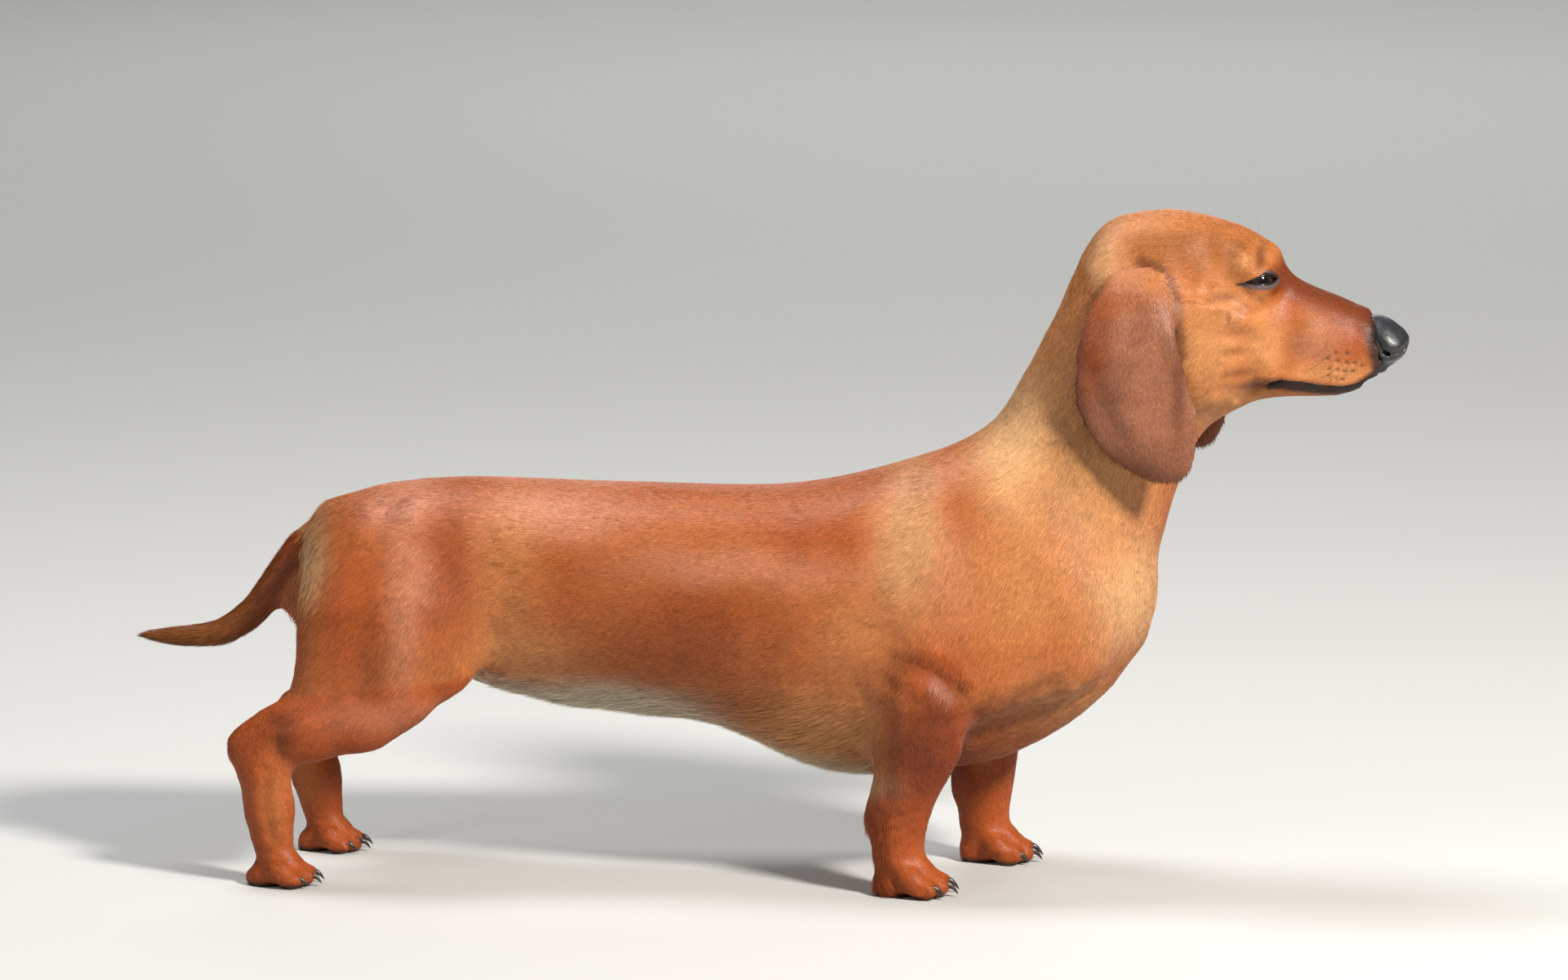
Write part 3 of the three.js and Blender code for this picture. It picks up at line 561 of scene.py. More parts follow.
def snap_to_slit(skin, rim):
    """Draws the slit's ragged edge onto the lids' smooth lines."""
    head = to_head(points_of(skin))
    for sign in SIDES.values():
        mine = np.nonzero(rim & (head[:, 1] * sign > 0))[0]
        outward, across_axis, up_axis = eye_axes(sign)
        across, up, out = eye_plane(head[mine], sign)
        across = np.clip(across, REAR_CORNER[0], FRONT_CORNER[0])
        upper, lower = lid_heights(across)
        up = np.where(np.abs(up - upper) < np.abs(up - lower), upper, lower)
        out = np.sqrt(np.maximum(LID_RADIUS**2 - across**2 - up**2, 1))
        moved = np.outer(across, across_axis) + np.outer(up, up_axis) + np.outer(out, outward)
        head[mine] = eye_centre(sign) + moved
    set_points(skin, from_head(head))


# Sculpted strokes: a path in the side view, how wide, and how far it raises (+) or sinks (-) the skin.
# A crease also lifts a soft lip along both of its sides: how high beside its depth, and how many widths out.

CREASES = ["the elbow's crease", "the armpit's upper fold", "the armpit's lower fold"]
CREASE_LIP = 0.22
CREASE_LIP_PLACE = 1.9
# How strongly painted shade darkens the creases' depths
PAINTED_CREASE_SHADE = 0.34

BODY_STROKES = [
    ("behind the thigh's muscle", [(-208, 221), (-214, 176), (-221, 131), (-217, 108)], 9, -1.3),
    ("the thigh's muscle", [(-194, 215), (-192, 177), (-195, 141), (-204, 110)], 12, 1.3),
    ("the thigh's front groove", [(-150, 190), (-147, 168), (-150, 136), (-157, 114)], 9, -1.8),
    ("the flank's fold", [(-150, 118), (-138, 112), (-120, 108)], 6, 1.2),
    ("behind the shoulder", [(78, 222), (66, 204), (63, 173), (66, 143)], 10, -1.7),
    ("the shoulder blade", [(86, 222), (92, 196), (98, 168)], 13, 1.2),
    ("the upper arm's muscle", [(80, 160), (86, 141)], 14, 1.4),
    ("the elbow's crease", [(69, 121), (74, 130), (84, 132), (97, 126), (107, 117)], 5, -2.5),
    ("the elbow's callus", [(90, 114), (100, 107), (103, 98)], 7, 1.2),
    ("the armpit's upper fold", [(118, 103), (136, 109), (158, 120)], 5, -1.8),
    ("the armpit's lower fold", [(117, 89), (132, 97), (160, 108)], 5, -2.0),
    ("beside the breastbone", [(181, 152), (182, 128), (168, 107)], 10, -1.5),
    ("the neck's root", [(160, 240), (186, 209), (205, 183)], 12, -1.0),
    ("the forearm's rear groove", [(71, 105), (67, 77), (68, 56)], 4.5, -1.3),
    ("the forearm's bone", [(97, 92), (89, 64), (86, 40)], 5, 0.9),
    ("the wrist's first wrinkle", [(58, 52), (68, 46), (76, 46)], 2.8, -0.5),
    ("the wrist's second wrinkle", [(60, 42), (69, 38), (77, 39)], 2.8, -0.4),
    ("the shank's groove", [(-262, 92), (-244, 99), (-224, 108)], 5, -2.2),
    ("the hock's hollow", [(-268, 90), (-268, 74)], 4.5, -1.8),
    ("the metatarsus' groove", [(-273, 66), (-274, 46), (-272, 28)], 3.5, -1.2),
    ("the first rib shade", [(12, 203), (0, 163), (-2, 122)], 9, -0.6),
    ("the second rib shade", [(40, 190), (32, 150), (30, 110)], 8, -0.5),
    ("the hip's point", [(-165, 207)], 12, 0.9),
]

HEAD_STROKES = [
    ("the brow's hollow", [(266.5, 355.5), (270.0, 351), (271.0, 346.5), (273.0, 343.2)], 3.0, -1.3),
    ("the brow's ridge", [(275.2, 355), (277.4, 350), (277.6, 344.5)], 3.0, 0.5),
    ("the upper lid's swell", [(257.5, 346.5), (264.0, 347.0)], 5.5, 0.7),
    ("below the eye", [(243, 334), (248.4, 331.7), (253, 328.4), (260, 325.4), (267, 321)], 3.6, -1.1),
    ("the lower lid's pouch", [(257, 329.8), (264, 327.4), (272, 328.5)], 3.0, 0.4),
    ("the cheekbone", [(246, 322), (256, 318.5), (268, 314)], 6, 0.9),
    ("the cheek's upper crease", [(270, 305.8), (259, 300.3), (249, 296.5)], 3.8, -0.75),
    ("the cheek's upper swell", [(266, 297), (256, 293)], 5, 0.3),
    ("the cheek's lower crease", [(270, 292.8), (261, 288.3), (252, 285.3)], 3.4, -0.7),
    ("the cheek's long crease", [(243.5, 316.8), (252.4, 310.8), (265.7, 308.6)], 5.0, -0.5),
    ("the jaw's hollow", [(250, 279), (262, 277)], 4.5, -0.9),
    ("the hollow before the cheek", [(283, 326), (285.5, 313.7), (284.5, 300.3)], 7, -1.1),
    ("the muzzle's swell", [(297, 309), (307, 304)], 10, 1.3),
    ("the lip's swell", [(318, 291), (306, 290), (292, 291)], 5, 0.8),
    ("the fold behind the mouth", [(281, 283.6), (274, 283.2), (267, 279.5), (259, 272.5)], 2.4, -1.3),
    ("the temple", [(240, 354), (251, 348)], 7, -1.3),
    ("the skull's side", [(226, 352), (233, 338), (236, 322)], 7, -0.9),
    ("the ear's rolled edge", [(212, 345.5), (219.5, 338), (223.4, 326), (225.0, 312)], 2.2, 0.4),
    ("the ear's front crease", [(210.5, 341), (215, 333), (217.8, 320), (219.5, 306), (222, 292)], 4.0, -0.7),
    ("the ear's top", [(196, 333), (206, 334)], 8, 0.4),
    ("the ear's inner dent", [(205, 322), (201, 308)], 7, -1.3),
    ("the ear's upper swell", [(192, 318), (188, 300)], 6, 0.8),
    ("the ear's middle swell", [(208, 296), (204, 280)], 7, 1.0),
    ("the ear's rear dent", [(181, 287), (188, 268), (196, 256)], 7, -1.4),
    ("the ear's front dent", [(226, 284), (225, 262)], 7, -1.1),
    ("the ear's lower swell", [(205, 260), (214, 246)], 9, 0.9),
    ("the ear's rim", [(173, 272), (180, 258), (190, 246), (204, 236)], 3, 0.7),
]

NOSTRIL = [(333.8, 305.0), (335.8, 300.2), (340.2, 297.3), (345.0, 298.6), (347.6, 301.8)]
MOUTH = [(338, 291), (333, 286.2), (327.7, 282.2), (316.2, 280.0), (301.1, 281.0), (294.0, 282.6),
         (282.0, 283.2), (275.4, 281)]
NOSE_WING = [(335.6, 308.0), (339.5, 302.5), (344.5, 303.5)]
NOSE_GROOVE = [(352, 0, 306), (349, 0, 296), (342, 0, 286)]
MUZZLE_END = [(334.5, 318), (332, 306), (333.5, 297), (335.5, 288)]
UNDER_NOSE = [(338, 292), (334, 286), (328, 282)]
MUZZLE_BRIDGE = [(283, 339), (297, 333), (312, 327), (326, 320), (332, 314)]
# The line on the head along the ear's front edge, where painted shadow is laid
EAR_EDGE_SHADOW = [(207, 348), (215, 345), (222, 338), (226.5, 328), (228, 314), (229, 300)]
WHISKER_SPOTS = [
    (311.1, 299.8), (317.3, 299.7), (307.0, 296.8), (312.5, 295.4), (317.3, 294.6), (321.4, 294.2),
    (325.2, 292.7), (308.0, 291.3), (312.5, 290.5), (316.2, 289.8), (320.7, 289.8), (307.6, 287.5),
    (311.8, 286.0), (315.2, 285.2),
]


# Strokes of the body leave this much on both sides of its middle plane alone, and the ears' strokes
# start this far out
MIDDLE_WIDTH = 24
EAR_FROM_MIDDLE = 38.5

# Each paw: its heel, middle line, size and side, as its solids have them
PAW_PLACES = [(66, 47.5, 1.0, -1), (108, 47.5, 1.0, 1), (-281, 48, 0.9, -1), (-267, 48, 0.9, 1)]
# Each groove between toes: how far aside, and its reach beside the middle one's
TOE_GROOVES = [(-9.2, 0.72), (0, 1.0), (9.2, 0.72)]
KNUCKLES = [(-13.5, 17), (-4.8, 22), (4.8, 22), (13.5, 17)]


def bump_shape(away):
    return np.exp(-away**2)


def sculpt_toes(points, normals):
    """Grooves between the toes, knuckles over them and a swelling at each claw's root."""
    for heel, middle, size, sign in PAW_PLACES:
        near = np.hypot(points[:, 0] - heel - 14, points[:, 1] - sign * middle) < 34
        near = near & (points[:, 2] < 32) & (normals[:, 2] > -0.35)
        for aside, reach in TOE_GROOVES:
            line = [(9, aside * 0.75, 21), (17 * reach + 3, aside, 17), (27 * reach + 3, aside * 1.1, 9),
                    (31 * reach + 3, aside * 1.15, 1)]
            path = [(heel + x * size, sign * (middle + y * size), z * size) for x, y, z in line]
            away = path_distance(points, path) / (2.1 * size)
            points -= normals * (3.3 * size * bump_shape(away) * near)[:, None]
        for aside, ahead in KNUCKLES:
            knuckle = [(heel + ahead * size, sign * (middle + aside * size), 15 * size)]
            away = path_distance(points, knuckle) / (4.5 * size)
            points += normals * (1.1 * size * bump_shape(away) * near)[:, None]
    for name in CLAWS:
        low, high = (to_dog(corner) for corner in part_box(name))
        root = [low[0] + 1.0, (low[1] + high[1]) / 2, high[2] - 1.5]
        away = path_distance(points, [root]) / 4.2
        points += normals * (1.5 * bump_shape(away))[:, None]


def stroke(points, normals, mask, path, width, depth, crease=False):
    """Moves the points near one path in the side view along their normals."""
    away = path_distance(side_view(points), path) / width
    lift = depth * bump_shape(away)
    if crease:
        lift -= CREASE_LIP * depth * bump_shape(away - CREASE_LIP_PLACE)
    points += normals * (lift * mask)[:, None]


def coat_depth(points):
    """How far the skin is drawn in so that the coat over it keeps the solids' size."""
    head = to_head(points)
    on_face = smoothstep(head[:, 0], 236, 262) * (head[:, 2] > 255)
    depth = 0.9 - 0.5 * on_face
    depth -= 1.0 * smoothstep(head[:, 0], 320, 331) * smoothstep(head[:, 2], 294, 302)
    depth *= smoothstep(points[:, 2], 0, 14) * 0.7 + 0.3
    for sign in SIDES.values():
        across, up, out = eye_plane(head, sign)
        from_eye = np.hypot(across / 13, up / 8)
        depth *= 1 - (1 - smoothstep(from_eye, 0.75, 1.5)) * (out > 0)
    return depth


def facing_out(points, normals, full):
    """From 0 to 1: how squarely each point looks away from the dog's middle plane."""
    return (normals[:, 1] * points[:, 1] > 0) * smoothstep(np.abs(normals[:, 1]), 0.05, full)


def sculpt(skin):
    """Draws in the coat's depth, then adds the strokes, the line of the mouth and the soles."""
    points = points_of(skin)
    normals = normals_of(skin)
    not_head = to_head(points)[:, 2] < 250
    points -= normals * coat_depth(points)[:, None]

    outer = facing_out(points, normals, 0.45)
    for name, path, width, amount in BODY_STROKES:
        mask = outer * (np.abs(points[:, 1]) > MIDDLE_WIDTH) * not_head
        stroke(points, normals, mask, path, width, amount, name in CREASES)
    sculpt_toes(points, normals)
    head = to_head(points)
    normals = turned_to_head(normals)
    outer = facing_out(head, normals, 0.4)
    is_ear = np.abs(head[:, 1]) > EAR_FROM_MIDDLE
    for name, path, width, amount in HEAD_STROKES:
        where = is_ear if name.startswith("the ear") else ~is_ear
        stroke(head, normals, outer * where * (head[:, 2] > 228), path, width, amount)
    lips = (np.abs(head[:, 1]) > 4) & (head[:, 0] > 268)
    stroke(head, normals, lips, MOUTH, 1.05, -1.9)
    stroke(head, normals, outer * lips, [(x, z + 3) for x, z in MOUTH], 2.2, 0.5)
    for spot in WHISKER_SPOTS:
        stroke(head, normals, outer * (head[:, 0] > 290), [spot], 1.1, -0.5)
    points = from_head(head)
    points[:, 2] = np.where(points[:, 2] < 1.3, 0.06, points[:, 2])
    set_points(skin, points)


def make_skin():
    find = region_finder()
    skin = rough_skin()
    refine(skin, find)
    split_eyelids(skin)
    sculpt(skin)
    on_none(
        skin,
        "FACE",
        lambda: bpy.ops.mesh.select_all(action="SELECT"),
        lambda: bpy.ops.uv.smart_project(angle_limit=1.15, island_margin=0.001),
    )
    skin.data.uv_layers[0].name = "OFBake"
    shade_smooth(skin)
    skin.vertex_groups.clear()
    return skin, find


# Markings: the same colours for the skin and for the coat over it, painted sheen and painted shade among them

SHADES = {
    "mahogany": (0.30, 0.060, 0.010),
    "deep_red": (0.21, 0.033, 0.005),
    # umber: for dark marks, and for painted shade in creases and hollows
    "umber": (0.085, 0.020, 0.006),
    "red": (0.38, 0.103, 0.026),
    "rich_red": (0.35, 0.064, 0.010),
    "orange": (0.50, 0.170, 0.045),
    "gold": (0.57, 0.250, 0.090),
    "pale_gold": (0.64, 0.370, 0.175),
    "cream": (0.64, 0.440, 0.250),
    "grey_cream": (0.60, 0.510, 0.370),
    # rose: the colour of the painted sheen, the light's pinkish gloss on the coat
    "rose": (0.52, 0.205, 0.115),
    "plum": (0.25, 0.092, 0.048),
    "ticked": (0.20, 0.072, 0.012),
    # tawny: the colour of the painted shadow that the ear casts on the neck
    "tawny": (0.26, 0.135, 0.052),
    "brown": (0.25, 0.083, 0.020),
    "soot": (0.024, 0.013, 0.010),
    "lip_black": (0.009, 0.006, 0.006),
    "lid_grey": (0.090, 0.072, 0.076),
    "eyeball": (0.016, 0.009, 0.006),
    "iris": (0.028, 0.013, 0.006),
    "pupil": (0.003, 0.002, 0.002),
}

# Each patch: its middle in the side view, half-length, half-height, shade and strength
BODY_PATCHES = [
    ("top of the back", (-60, 228), 160, 14, "mahogany", 0.50),
    # Partly the coat's darker red, partly painted shade between the sheen bands
    ("dark loin", (-108, 176), 30, 26, "mahogany", 0.50),
    # Painted sheen: the light's pinkish gloss across the loin
    ("rose loin", (-116, 204), 46, 13, "rose", 0.75),
    # Painted sheen: the light's gloss on the croup
    ("rose croup", (-205, 212), 28, 10, "rose", 0.65),
    ("gold before the thigh", (-140, 172), 20, 52, "gold", 0.34),
    # Partly the coat's darker red, partly painted shade in the dip before the thigh's muscle
    ("dark front of the thigh", (-172, 178), 19, 36, "deep_red", 0.62),
    # Painted sheen: the light's gloss down the thigh's muscle
    ("rose band of the thigh", (-196, 165), 11, 52, "rose", 0.65),
    ("red rear of the thigh", (-224, 150), 18, 46, "rich_red", 0.70),
    ("cream of the buttock", (-251, 180), 11, 22, "pale_gold", 0.80),
    ("gold low on the flank", (-128, 128), 34, 16, "gold", 0.55),
    # Partly the coat's darker red, partly painted shade below the sheen on the flank
    ("dark flank", (-50, 136), 56, 20, "mahogany", 0.65),
    # Partly the coat's darker red, partly painted shade below the sheen along the ribs
    ("dark middle of the ribs", (-30, 156), 40, 13, "mahogany", 0.70),
    # Painted sheen: the light's gloss along the ribs
    ("rose along the ribs", (-12, 182), 66, 12, "rose", 0.60),
    # Partly the coat's darker red, partly painted shade above the sheen along the ribs
    ("dark ribs above", (26, 200), 36, 14, "mahogany", 0.75),
    ("gold of the lower ribs", (52, 148), 20, 26, "gold", 0.35),
    ("gold chest floor", (36, 86), 44, 26, "gold", 0.88),
    # Painted highlight on the shoulder blade's muscle
    ("pale band of the shoulder", (82, 198), 19, 40, "pale_gold", 0.60),
    # Painted sheen on the shoulder
    ("rose shoulder", (106, 180), 15, 28, "rose", 0.60),
    ("dark withers", (112, 214), 13, 17, "mahogany", 0.80),
    ("orange shoulder", (140, 178), 42, 42, "orange", 0.65),
    ("golden shoulder", (146, 172), 26, 26, "gold", 0.45),
    ("dark upper arm", (96, 128), 20, 14, "rich_red", 0.70),
    ("golden neck", (150, 250), 40, 50, "gold", 0.90),
    # Painted shadow that the ear casts on the neck
    ("tawny neck below the ear", (176, 236), 22, 34, "tawny", 0.85),
    ("pale neck behind", (135, 262), 20, 42, "pale_gold", 0.85),
    ("golden nape", (160, 312), 26, 40, "gold", 0.70),
    ("golden throat", (190, 232), 30, 36, "gold", 0.80),
    ("pale forechest", (203, 165), 26, 36, "pale_gold", 0.75),
    ("low forechest", (165, 105), 34, 22, "gold", 0.55),
    ("cream belly", (-95, 96), 62, 13, "grey_cream", 0.90),
    ("cream chest floor", (25, 64), 44, 9, "cream", 0.70),
    ("dark elbow", (97, 106), 10, 12, "umber", 0.50),
    ("dark forearm", (92, 78), 28, 34, "deep_red", 0.95),
    ("darkest forearm", (92, 88), 16, 26, "umber", 0.45),
    # Painted sheen on the shank
    ("rose shank", (-215, 98), 34, 10, "rose", 0.40),
    # Painted shade in the hock's hollow
    ("dark hock hollow", (-265, 88), 10, 12, "umber", 0.50),
    ("orange below the hock", (-268, 48), 9, 26, "orange", 0.45),
    ("dark rear of the wrist", (62, 50), 6, 14, "deep_red", 0.40),
]
HEAD_PATCHES = [
    ("brown skull", (234, 356), 38, 14, "brown", 0.70),
    # Painted sheen: the pale gloss along the top of the skull
    ("pale crown", (205, 370), 30, 7, "gold", 0.40),
    ("golden occiput", (184, 348), 14, 20, "pale_gold", 0.60),
    ("golden cheek", (250, 318), 24, 20, "gold", 0.45),
    ("pale cheek", (240, 298), 20, 20, "gold", 0.70),
    ("brown side of the muzzle", (306, 312), 24, 14, "brown", 0.55),
    ("red side of the muzzle", (320, 307), 14, 14, "mahogany", 0.75),
    # Painted sheen on the side of the muzzle
    ("rose muzzle", (301, 304), 13, 11, "rose", 0.55),
    ("red before the eye", (288, 328), 10, 13, "rich_red", 0.62),
    ("golden lip", (310, 288), 20, 6.5, "gold", 0.62),
    ("pale front of the cheek", (274, 302), 9, 14, "gold", 0.70),
    ("golden throat", (245, 268), 30, 13, "gold", 0.75),
    # Golden hair with painted sheen on the upper lid's swell
    ("golden upper lid", (259, 348), 7, 5.0, "gold", 0.65),
    # The head's orange, with a painted highlight on the brow's ridge
    ("golden brow", (277, 350), 3.0, 6.5, "orange", 0.80),
    # Painted shade in the brow's hollow
    ("dark brow", (269.5, 350), 2.6, 6, "umber", 0.75),
    # The next five: painted shade in the crease below the eye and in the cheek's creases
    ("dark crease below the eye", (250, 331), 9, 2.9, "umber", 0.50),
    ("dark end of the crease", (263, 324), 7, 2.2, "mahogany", 0.50),
    ("dark upper crease of the cheek", (260, 300.5), 10, 2.4, "umber", 0.42),
    ("dark lower crease of the cheek", (262, 288.5), 8, 2.4, "umber", 0.42),
    ("dark long crease of the cheek", (256, 310.5), 9, 2.2, "mahogany", 0.30),
    # The dark skin at the mouth's corner, and painted shade in the fold behind the mouth
    ("dark behind the mouth", (270, 281), 7, 3.0, "umber", 0.70),
]
EAR_PATCHES = [
    ("dark top of the ear", (186, 326), 13, 9, "mahogany", 0.60),
    ("red rear of the ear", (182, 300), 9, 20, "rich_red", 0.60),
    # Painted sheen on the middle and the lower ear
    ("dusky middle of the ear", (206, 296), 12, 30, "rose", 0.28),
    ("dusky lower ear", (204, 262), 20, 12, "rose", 0.22),
    # Painted shade just inside the ear's front edge
    ("dark front rim of the ear", (229, 290), 3.5, 34, "umber", 0.55),
    ("dark rear rim of the ear", (176, 266), 5, 26, "umber", 0.35),
    ("dark lower rim of the ear", (204, 238), 26, 6, "umber", 0.40),
]


def ellipse(flat, centre, half):
    away = ((flat[:, 0] - centre[0]) / half[0]) ** 2 + ((flat[:, 1] - centre[1]) / half[1]) ** 2
    return np.exp(-(away**1.4))


def blend(colours, shade, strength):
    target = np.array(SHADES[shade])
    colours += (target - colours) * np.clip(strength, 0, 1)[:, None]


def blend_patches(colours, patches, flat, where):
    for _, centre, long, high, shade, strength in patches:
        blend(colours, shade, ellipse(flat, centre, (long, high)) * strength * where)


def mottle(points, scale, seed):
    """A soft noise made of crossed waves, from -1 to 1."""
    wave = np.random.default_rng(seed)
    total = np.zeros(len(points))
    for _ in range(7):
        direction = wave.normal(size=3)
        direction /= np.linalg.norm(direction) * scale
        total += np.sin(points @ direction * 2 * math.pi + wave.uniform(0, 7))
    return total / 4


def markings(points, region):
    """The coat's colour at each point of the dog's frame, with painted sheen and painted shade laid over it
    in places.
    """
    head = to_head(points)
    wander = np.column_stack([mottle(points, 45, seed) for seed in (1, 2, 3)])
    flat = side_view(points) + wander[:, :2] * 3.0
    head_flat = side_view(head) + wander[:, 1:] * 0.9
    colours = np.tile(np.array(SHADES["red"]), (len(points), 1))
    on_head = np.isin(region, FACE).astype(float)
    on_ear = np.isin(region, EARS).astype(float)
    on_leg = np.isin(region, LIMBS + PAWS).astype(float)
    on_tail = (region == "tail").astype(float)
    not_head = (1 - on_head) * (1 - on_ear) * (1 - on_tail)
    blend(colours, "orange", on_head * 0.50)
    blend(colours, "rich_red", on_leg * 0.8)
    blend_patches(colours, BODY_PATCHES, flat, not_head)
    # Painted shade along the body's deepest creases
    for name, path, width, _ in BODY_STROKES:
        if name in CREASES:
            near = bump_shape(path_distance(flat, path) / width)
            blend(colours, "umber", near * PAINTED_CREASE_SHADE * not_head * (np.abs(points[:, 1]) > MIDDLE_WIDTH))
    blend_patches(colours, HEAD_PATCHES, head_flat, on_head)
    bridge = path_distance(head_flat, MUZZLE_BRIDGE)
    blend(colours, "deep_red", on_head * (1 - smoothstep(bridge, 4, 15)) * 0.85)
    blend(colours, "umber", on_head * (1 - smoothstep(bridge, 1, 11)) * 0.62)
    inside = np.exp(-((np.abs(points[:, 1]) / 26) ** 4))
    below = smoothstep(-points[:, 2], -135, -100) * (points[:, 0] > -230) * (points[:, 0] < 60)
    blend(colours, "grey_cream", inside * below * not_head * 0.8)
    blend(colours, "plum", on_ear * 0.95)
    blend(colours, "orange", on_ear * smoothstep(head[:, 2], 316, 344) * 0.60)
    blend_patches(colours, EAR_PATCHES, head_flat, on_ear)
    # Painted shadow on the head along the ear's front edge
    fold = path_distance(side_view(head), EAR_EDGE_SHADOW)
    blend(colours, "umber", on_head * (1 - smoothstep(fold, 1.0, 6.5)) * 0.7)
    blend(colours, "deep_red", on_tail * 0.6)
    blend(colours, "ticked", on_tail * smoothstep(-points[:, 0], 262, 300) * 0.6)
    soles = smoothstep(-points[:, 2], -4.5, -1.5) * on_leg
    blend(colours, "soot", soles * 0.9)
    colours *= (1 + 0.05 * mottle(points, 16, 5) + 0.04 * mottle(points, 6, 6))[:, None]
    return np.clip(colours, 0.003, 0.9)


def lid_marks(head, colours):
    """The dark rims of the lids and the streak behind the eye's rear corner."""
    for sign in SIDES.values():
        across, up, out = eye_plane(head, sign)
        upper, lower = lid_heights(across)
        here = (out > 0) * (np.abs(across) < 15) * (np.abs(up) < 9)
        beyond = np.maximum(np.abs(across - 0.2) - 9.0, 0)
        above = np.hypot(np.maximum(up - upper, 0), beyond)
        below = np.hypot(np.maximum(lower - up, 0), beyond * 0.8)
        is_below = (up < (upper + lower) / 2) * 1.0
        inner = smoothstep(across, -2, 5)
        upper_rim = 1 - smoothstep(above, 0.5 + 1.3 * inner, 1.3 + 2.6 * inner)
        blend(colours, "soot", here * (1 - is_below) * upper_rim * 0.9)
        blend(colours, "lid_grey", here * is_below * (1 - smoothstep(below, 1.9, 3.4)) * 0.92)
        blend(colours, "lip_black", here * (1 - smoothstep(np.where(is_below > 0, below, above), 0.25, 0.8)))
        streak = np.hypot(np.maximum(np.abs(across + 10.6) - 2.0, 0), up + 0.9)
        blend(colours, "soot", here * (1 - smoothstep(streak, 0.4, 1.2)) * 0.85)


def face_marks(points, colours):
    """The dark rims of the lids and lips and the whisker spots, sharper than the coat's patches, with painted
    shadow below the mouth's line.
    """
    head = to_head(points)
    lid_marks(head, colours)
    flat = side_view(head)
    away = path_distance(flat, MOUTH)
    on_lips = (head[:, 0] > 262) & (head[:, 2] < 300)
    line = np.interp(head[:, 0], *zip(*MOUTH[::-1]))
    below_line = head[:, 2] < line
    # Below the mouth's line the black reaches further down: the dark lower lip, and painted shadow under the
    # overhanging upper lip
    reach = np.where(below_line, 1.2 + 5.0 * smoothstep(head[:, 0], 266, 290), 1.1)
    blend(colours, "soot", on_lips * (1 - smoothstep(away, reach * 0.7, reach * 1.25)) * 0.95)
    blend(colours, "lip_black", on_lips * (1 - smoothstep(away, 0.4, 1.0)))
    for x, z in WHISKER_SPOTS:
        spot = np.exp(-(((head[:, 0] - x) / 1.35) ** 2 + ((head[:, 2] - z) / 0.8) ** 2))
        blend(colours, "soot", spot * (head[:, 0] > 290) * (head[:, 2] < 310) * 0.9)
    muzzle_end = path_distance(flat, MUZZLE_END)
    blend(colours, "soot", (head[:, 0] > 318) * (1 - smoothstep(muzzle_end, 1.0, 7.0)) * 0.95)
    under_nose = path_distance(flat, UNDER_NOSE)
    blend(colours, "soot", (head[:, 0] > 318) * (1 - smoothstep(under_nose, 2.5, 6.0)) * 0.97)
    return colours


def store_colours(piece, colours):
    layer = piece.data.color_attributes.new("coat_colour", "FLOAT_COLOR", "POINT")
    flat = np.ones((len(colours), 4), np.float32)
    flat[:, :3] = colours
    layer.data.foreach_set("color", flat.ravel())


# Materials


def new_material(name):
    material = bpy.data.materials.new(name)
    material.use_nodes = True
    tree = material.node_tree
    return material, tree, tree.nodes["Principled BSDF"]


def set_inputs(tree, owner, **inputs):
    """Gives a node's inputs their values, or links them to the outputs given."""
    for name, value in inputs.items():
        entry = owner.inputs[name.replace("_", " ")]
        if isinstance(value, bpy.types.NodeSocket):
            tree.links.new(value, entry)
        else:
            entry.default_value = value


def add_node(tree, kind, **inputs):
    made = tree.nodes.new(kind)
    set_inputs(tree, made, **inputs)
    return made.outputs


def object_place(tree):
    return add_node(tree, "ShaderNodeTexCoord")["Object"]


def noise(tree, **inputs):
    return add_node(tree, "ShaderNodeTexNoise", Vector=object_place(tree), **inputs)["Fac"]


def relief(tree, height, strength, distance, **inputs):
    """The normals of a pattern's heights."""
    inputs.update(Height=height, Strength=strength, Distance=distance)
    return add_node(tree, "ShaderNodeBump", **inputs)["Normal"]


def stored_colour(tree, pattern, **span):
    """The stored coat colour, made darker and lighter by a pattern."""
    stored = tree.nodes.new("ShaderNodeAttribute")
    stored.attribute_name = "coat_colour"
    share = add_node(tree, "ShaderNodeMapRange", Value=pattern, **span)["Result"]
    mixed = tree.nodes.new("ShaderNodeVectorMath")
    mixed.operation = "SCALE"
    set_inputs(tree, mixed, Vector=stored.outputs["Color"], Scale=share)
    return mixed.outputs["Vector"]


def two_shades(tree, pattern, dark_at, dark, light_at, light):
    ramp = tree.nodes.new("ShaderNodeValToRGB")
    set_inputs(tree, ramp, Fac=pattern)
    for element, place, colour in zip(ramp.color_ramp.elements, (dark_at, light_at), (dark, light)):
        element.position = place
        element.color = (*colour, 1)
    return ramp.outputs["Color"]


def skin_material():
    material, tree, shader = new_material("skin_under_coat")
    grain = noise(tree, Scale=900, Detail=4)
    colour = stored_colour(tree, grain, From_Min=0.3, From_Max=0.7, To_Min=0.62, To_Max=0.95)
    set_inputs(tree, shader, Base_Color=colour, Normal=relief(tree, grain, 0.5, 0.0005))
    set_inputs(tree, shader, Roughness=0.5, Specular_IOR_Level=0.25)
    return material


def coat_material():
    material, tree, shader = new_material("smooth_coat")
    grain = noise(tree, Scale=260, Detail=4)
    colour = stored_colour(tree, grain, From_Min=0.3, From_Max=0.7, To_Min=0.88, To_Max=1.1)
    set_inputs(tree, shader, Base_Color=colour, Roughness=0.38, Specular_IOR_Level=0.24)
    return material


